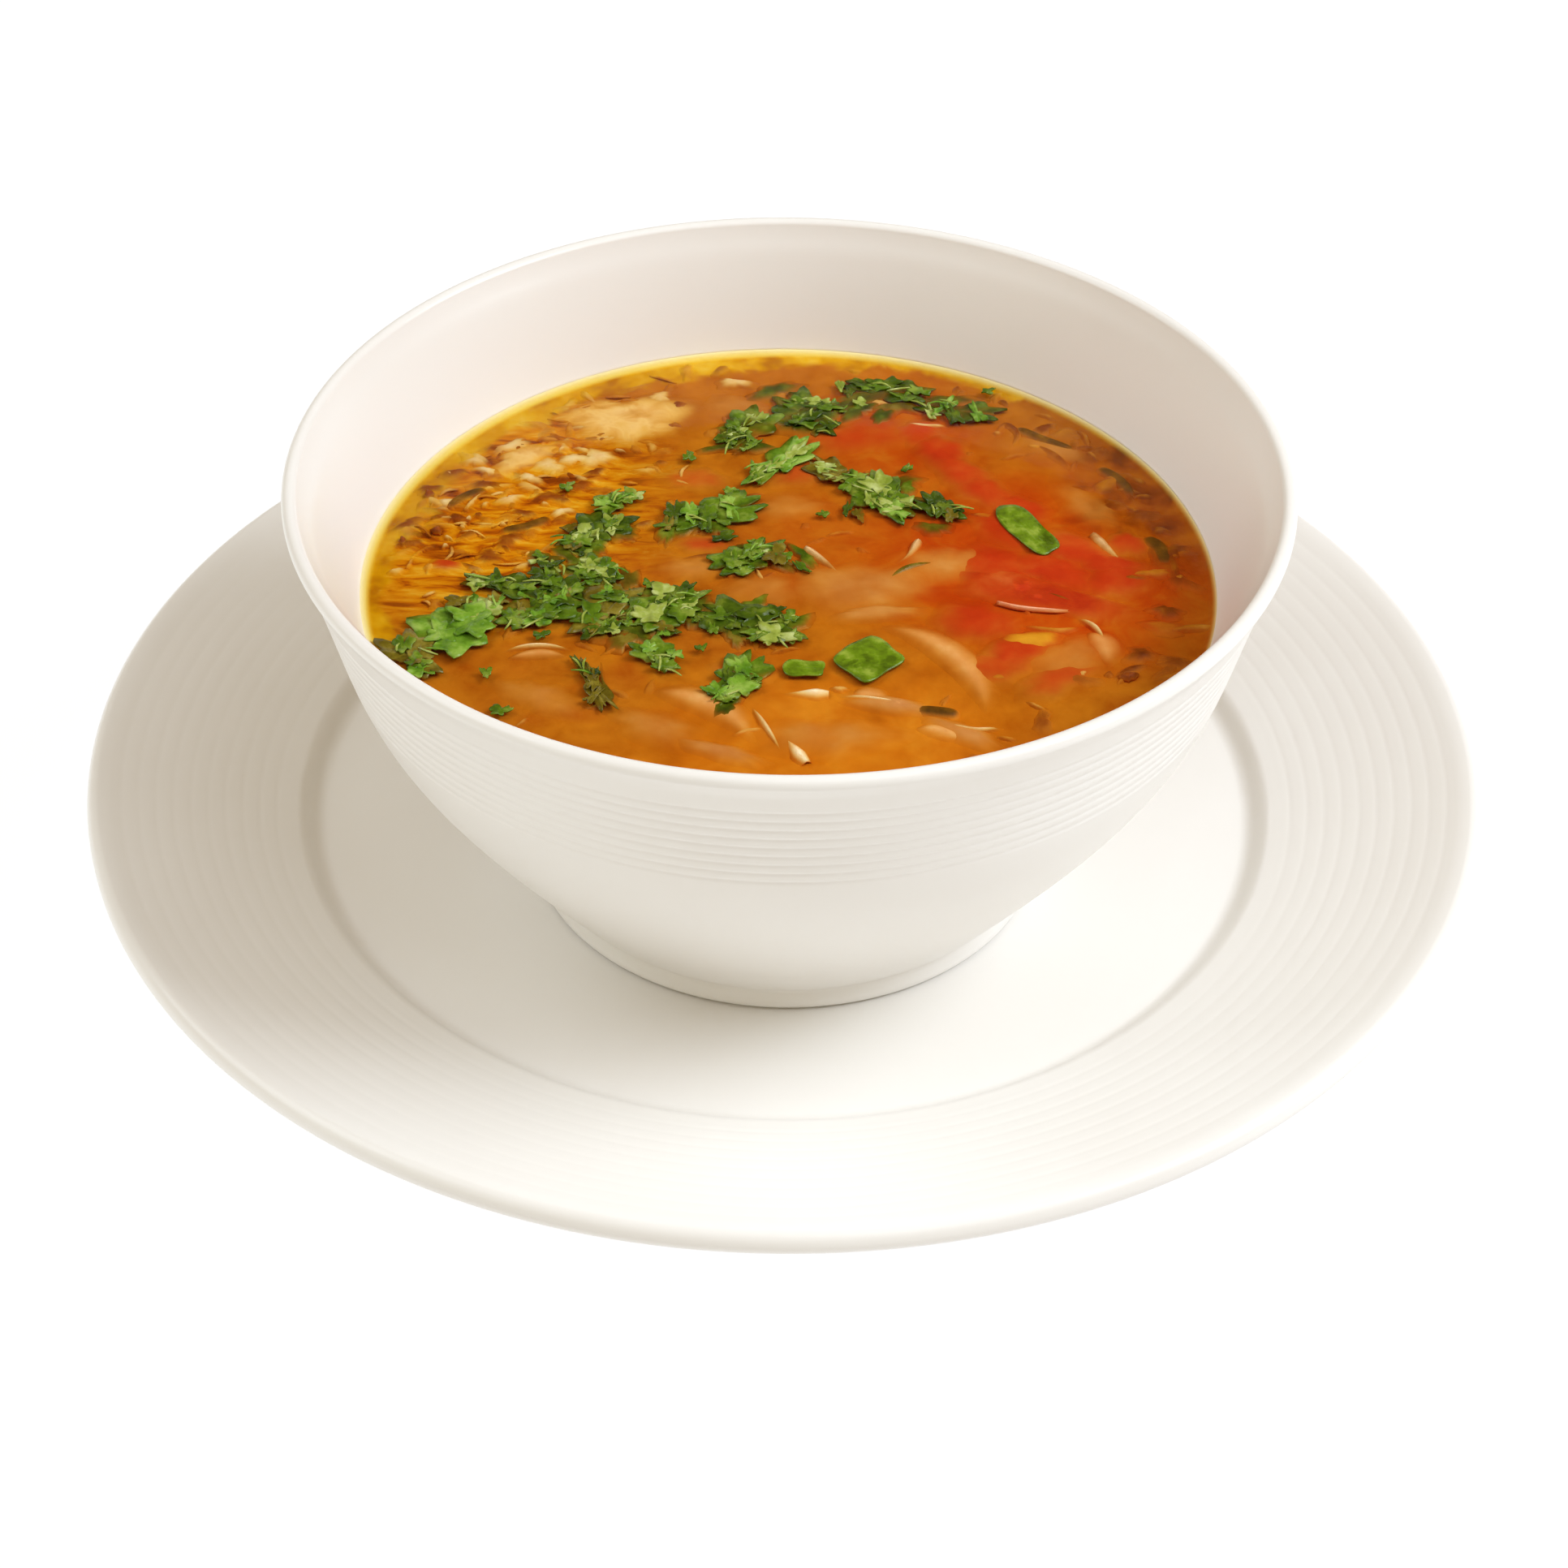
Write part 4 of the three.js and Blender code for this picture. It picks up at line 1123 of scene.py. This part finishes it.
def crumbs():
    """Grated carrot, fried onion, potato and herb crumbs, thickest by the wall at the far left."""
    heap = Heap("crumbs_and_shreds", [CARROT, FRIED, CREAM, HERB_GREENS[FRESH], HERB_GREENS[OLIVE]])
    rng = random.Random(21)

    def flake(x, y, slot, length, width, depth):
        way = rng.gauss(0.15, 0.7)
        patch(heap, rng, x, y, length, width, math.degrees(way), slot, depth, 1.0, bumps=0.22, relief_mm=0.1,
              power=1.8, rings=5, sides=14)

    def shred(x, y, slot, length, width, depth):
        way = rng.gauss(0.2, 0.5)
        bow = rng.uniform(-0.2, 0.2) * length
        c, s = math.cos(way), math.sin(way)
        points = [in_bowl(x - c * length / 2, y - s * length / 2, depth - 0.3),
                  in_bowl(x - s * bow, y + c * bow, depth),
                  in_bowl(x + c * length / 2, y + s * length / 2, depth - 0.3)]
        heap.rod(smooth_line(points, 5), width * MM, width * 0.5 * MM, slot)

    def spread(make, count, place_of, slots, length, width, depth):
        made = 0
        while made < count:
            x, y = place_of()
            in_oil = math.hypot(x - GOLD_RING[0], y - GOLD_RING[1]) > CRUMBS_WITHIN
            if in_oil or math.hypot(x, y) > PULP_RADIUS - 3:
                continue
            made += 1
            make(x, y, rng.choice(slots), rng.uniform(*length), rng.uniform(*width), rng.uniform(*depth))

    def far_left():
        angle = rng.gauss(2.6, 0.34)
        radius = 68 - abs(rng.gauss(0, 16))
        return radius * math.cos(angle), radius * math.sin(angle)

    def right_edge():
        angle = rng.gauss(0.25, 0.5)
        radius = 68 - abs(rng.gauss(0, 7))
        return radius * math.cos(angle), radius * math.sin(angle)

    def anywhere():
        angle, radius = rng.uniform(0, ALL_ROUND), 66 * math.sqrt(rng.random())
        return radius * math.cos(angle), radius * math.sin(angle)

    spread(flake, 110, far_left, (0, 0, 0, 1, 2), (3, 8), (1.4, 3.2), (-0.45, -0.2))
    spread(flake, 24, far_left, (1, 2), (1.2, 3), (0.8, 1.6), (-0.25, -0.1))
    spread(shred, 40, far_left, (0, 0, 2, 2), (2, 6), (0.5, 0.8), (-0.5, -0.3))
    spread(flake, 26, right_edge, (0, 1, 1), (5, 11), (2.5, 4.5), (-0.4, -0.15))
    spread(flake, 26, right_edge, (0, 0, 1), (2, 5), (1.0, 2.0), (-0.45, -0.2))
    spread(flake, 90, anywhere, (0, 0, 1, 2), (2, 6), (1.0, 2.4), (-0.55, -0.3))
    for slot, spots in SPOTS.items():
        for x, y, size in spots:
            patch(heap, rng, x, y, size * 1.8, size * 1.2, rng.uniform(-20, 30), slot, -0.05, 1.0,
                  bumps=0.25, rings=5, sides=20)
    # the thin sunk pieces, with the two lines of painted shade among them
    for slot, width, top, *points in SUNK_AND_SHADE_LINES:
        line = smooth_line([in_bowl(x, y) for x, y in points], 16)
        heap.ribbon(line, [width * 0.7 * MM] * 17, top * MM, 1.0 * MM, slot, THIN * MM, power=1.2, ends=2)
    for x, y, size in soup_flakes():
        if abs(x) >= HERBS_WITHIN:
            patch(heap, rng, x, y, size * 1.2, size * 0.8, rng.uniform(0, 180), 1, 0.2, 0.4, bumps=0.25,
                  relief_mm=0.15, rings=3, sides=16)
    return heap.build()


shown(sunk_patches(), "onion")
shown(crumbs(), "browned_onion")


# ------------------------------------------------------------------ studio
FLOOR_REACH = 3.0  # metres from the plate's middle to the floor's sides
LIT_POINT = Vector((0, 0, 0.04))
# The soft boxes: turn from +X and rise above the floor in degrees, distance and size in metres, power in
# watts, and colour.
SOFT_BOXES = {
    "key": (354, 41, 1.2, 0.6, 13.0, "#E9F2FC"),
    "left_fill": (180, 45, 1.4, 0.9, 7.8, "#E9F4FF"),
    "low_front_left": (215, 20, 1.4, 0.9, 2.6, "#F3FFF5"),
    "high_front_right": (320, 65, 1.4, 0.9, 3.9, "#E3EEFF"),
}


def soft_box(name, turn, rise, distance, size, power, colour):
    """A square light aimed at the bowl."""
    turn, rise = math.radians(turn), math.radians(rise)
    way = Vector((math.cos(rise) * math.cos(turn), math.cos(rise) * math.sin(turn), math.sin(rise)))
    spot = LIT_POINT + way * distance
    light = bpy.data.lights.new(name, "AREA")
    light.shape, light.size, light.energy = "SQUARE", size, power
    light.color = linear(colour)[:3]
    lamp = bpy.data.objects.new(name, light)
    lamp.location = spot
    lamp.rotation_euler = (LIT_POINT - spot).to_track_quat("-Z", "Y").to_euler()
    bpy.context.scene.collection.objects.link(lamp)


def studio():
    corners = [Vector((x * FLOOR_REACH, y * FLOOR_REACH, 0)) for x, y in ((-1, -1), (1, -1), (1, 1), (-1, 1))]
    floor = new_object("floor", corners, [(0, 1, 2, 3)], pale_floor(), smooth=False)

    world = bpy.data.worlds.new("soft_studio")
    bpy.context.scene.world = world
    world.use_nodes = True
    sky = world.node_tree.nodes["Background"]
    sky.inputs["Color"].default_value = linear("#FFD68E")
    sky.inputs["Strength"].default_value = 0.3
    for name, row in SOFT_BOXES.items():
        soft_box(name, *row)
    bpy.context.scene.view_settings.view_transform = "Standard"


# The viewing angle of the photograph: seen from the diner's side, with a very slight tilt of the horizon.
CAMERA_ELEVATION = 39.19
CAMERA_DISTANCE = 559.6
CAMERA_TARGET = Vector((0, 1.32, WELL_HEIGHT + 0.3))
CAMERA_LENS = 72.41
CAMERA_ROLL = 0.01008


def camera():
    data = bpy.data.cameras.new("camera")
    data.lens, data.sensor_width = CAMERA_LENS, 36
    data.clip_start, data.clip_end = 0.01, 20
    eye = bpy.data.objects.new("camera", data)
    bpy.context.scene.collection.objects.link(eye)
    rise = math.radians(CAMERA_ELEVATION)
    back = Vector((0, -math.cos(rise), math.sin(rise)))
    right = Vector((1, 0, 0))
    up = back.cross(right)
    right, up = (right * math.cos(CAMERA_ROLL) + up * math.sin(CAMERA_ROLL),
                 up * math.cos(CAMERA_ROLL) - right * math.sin(CAMERA_ROLL))
    spot = PLATE_FOOT + (CAMERA_TARGET + back * CAMERA_DISTANCE) * MM
    eye.matrix_world = Matrix.Translation(spot) @ Matrix((right, up, back)).transposed().to_4x4()
    bpy.context.scene.camera = eye


studio()
camera()
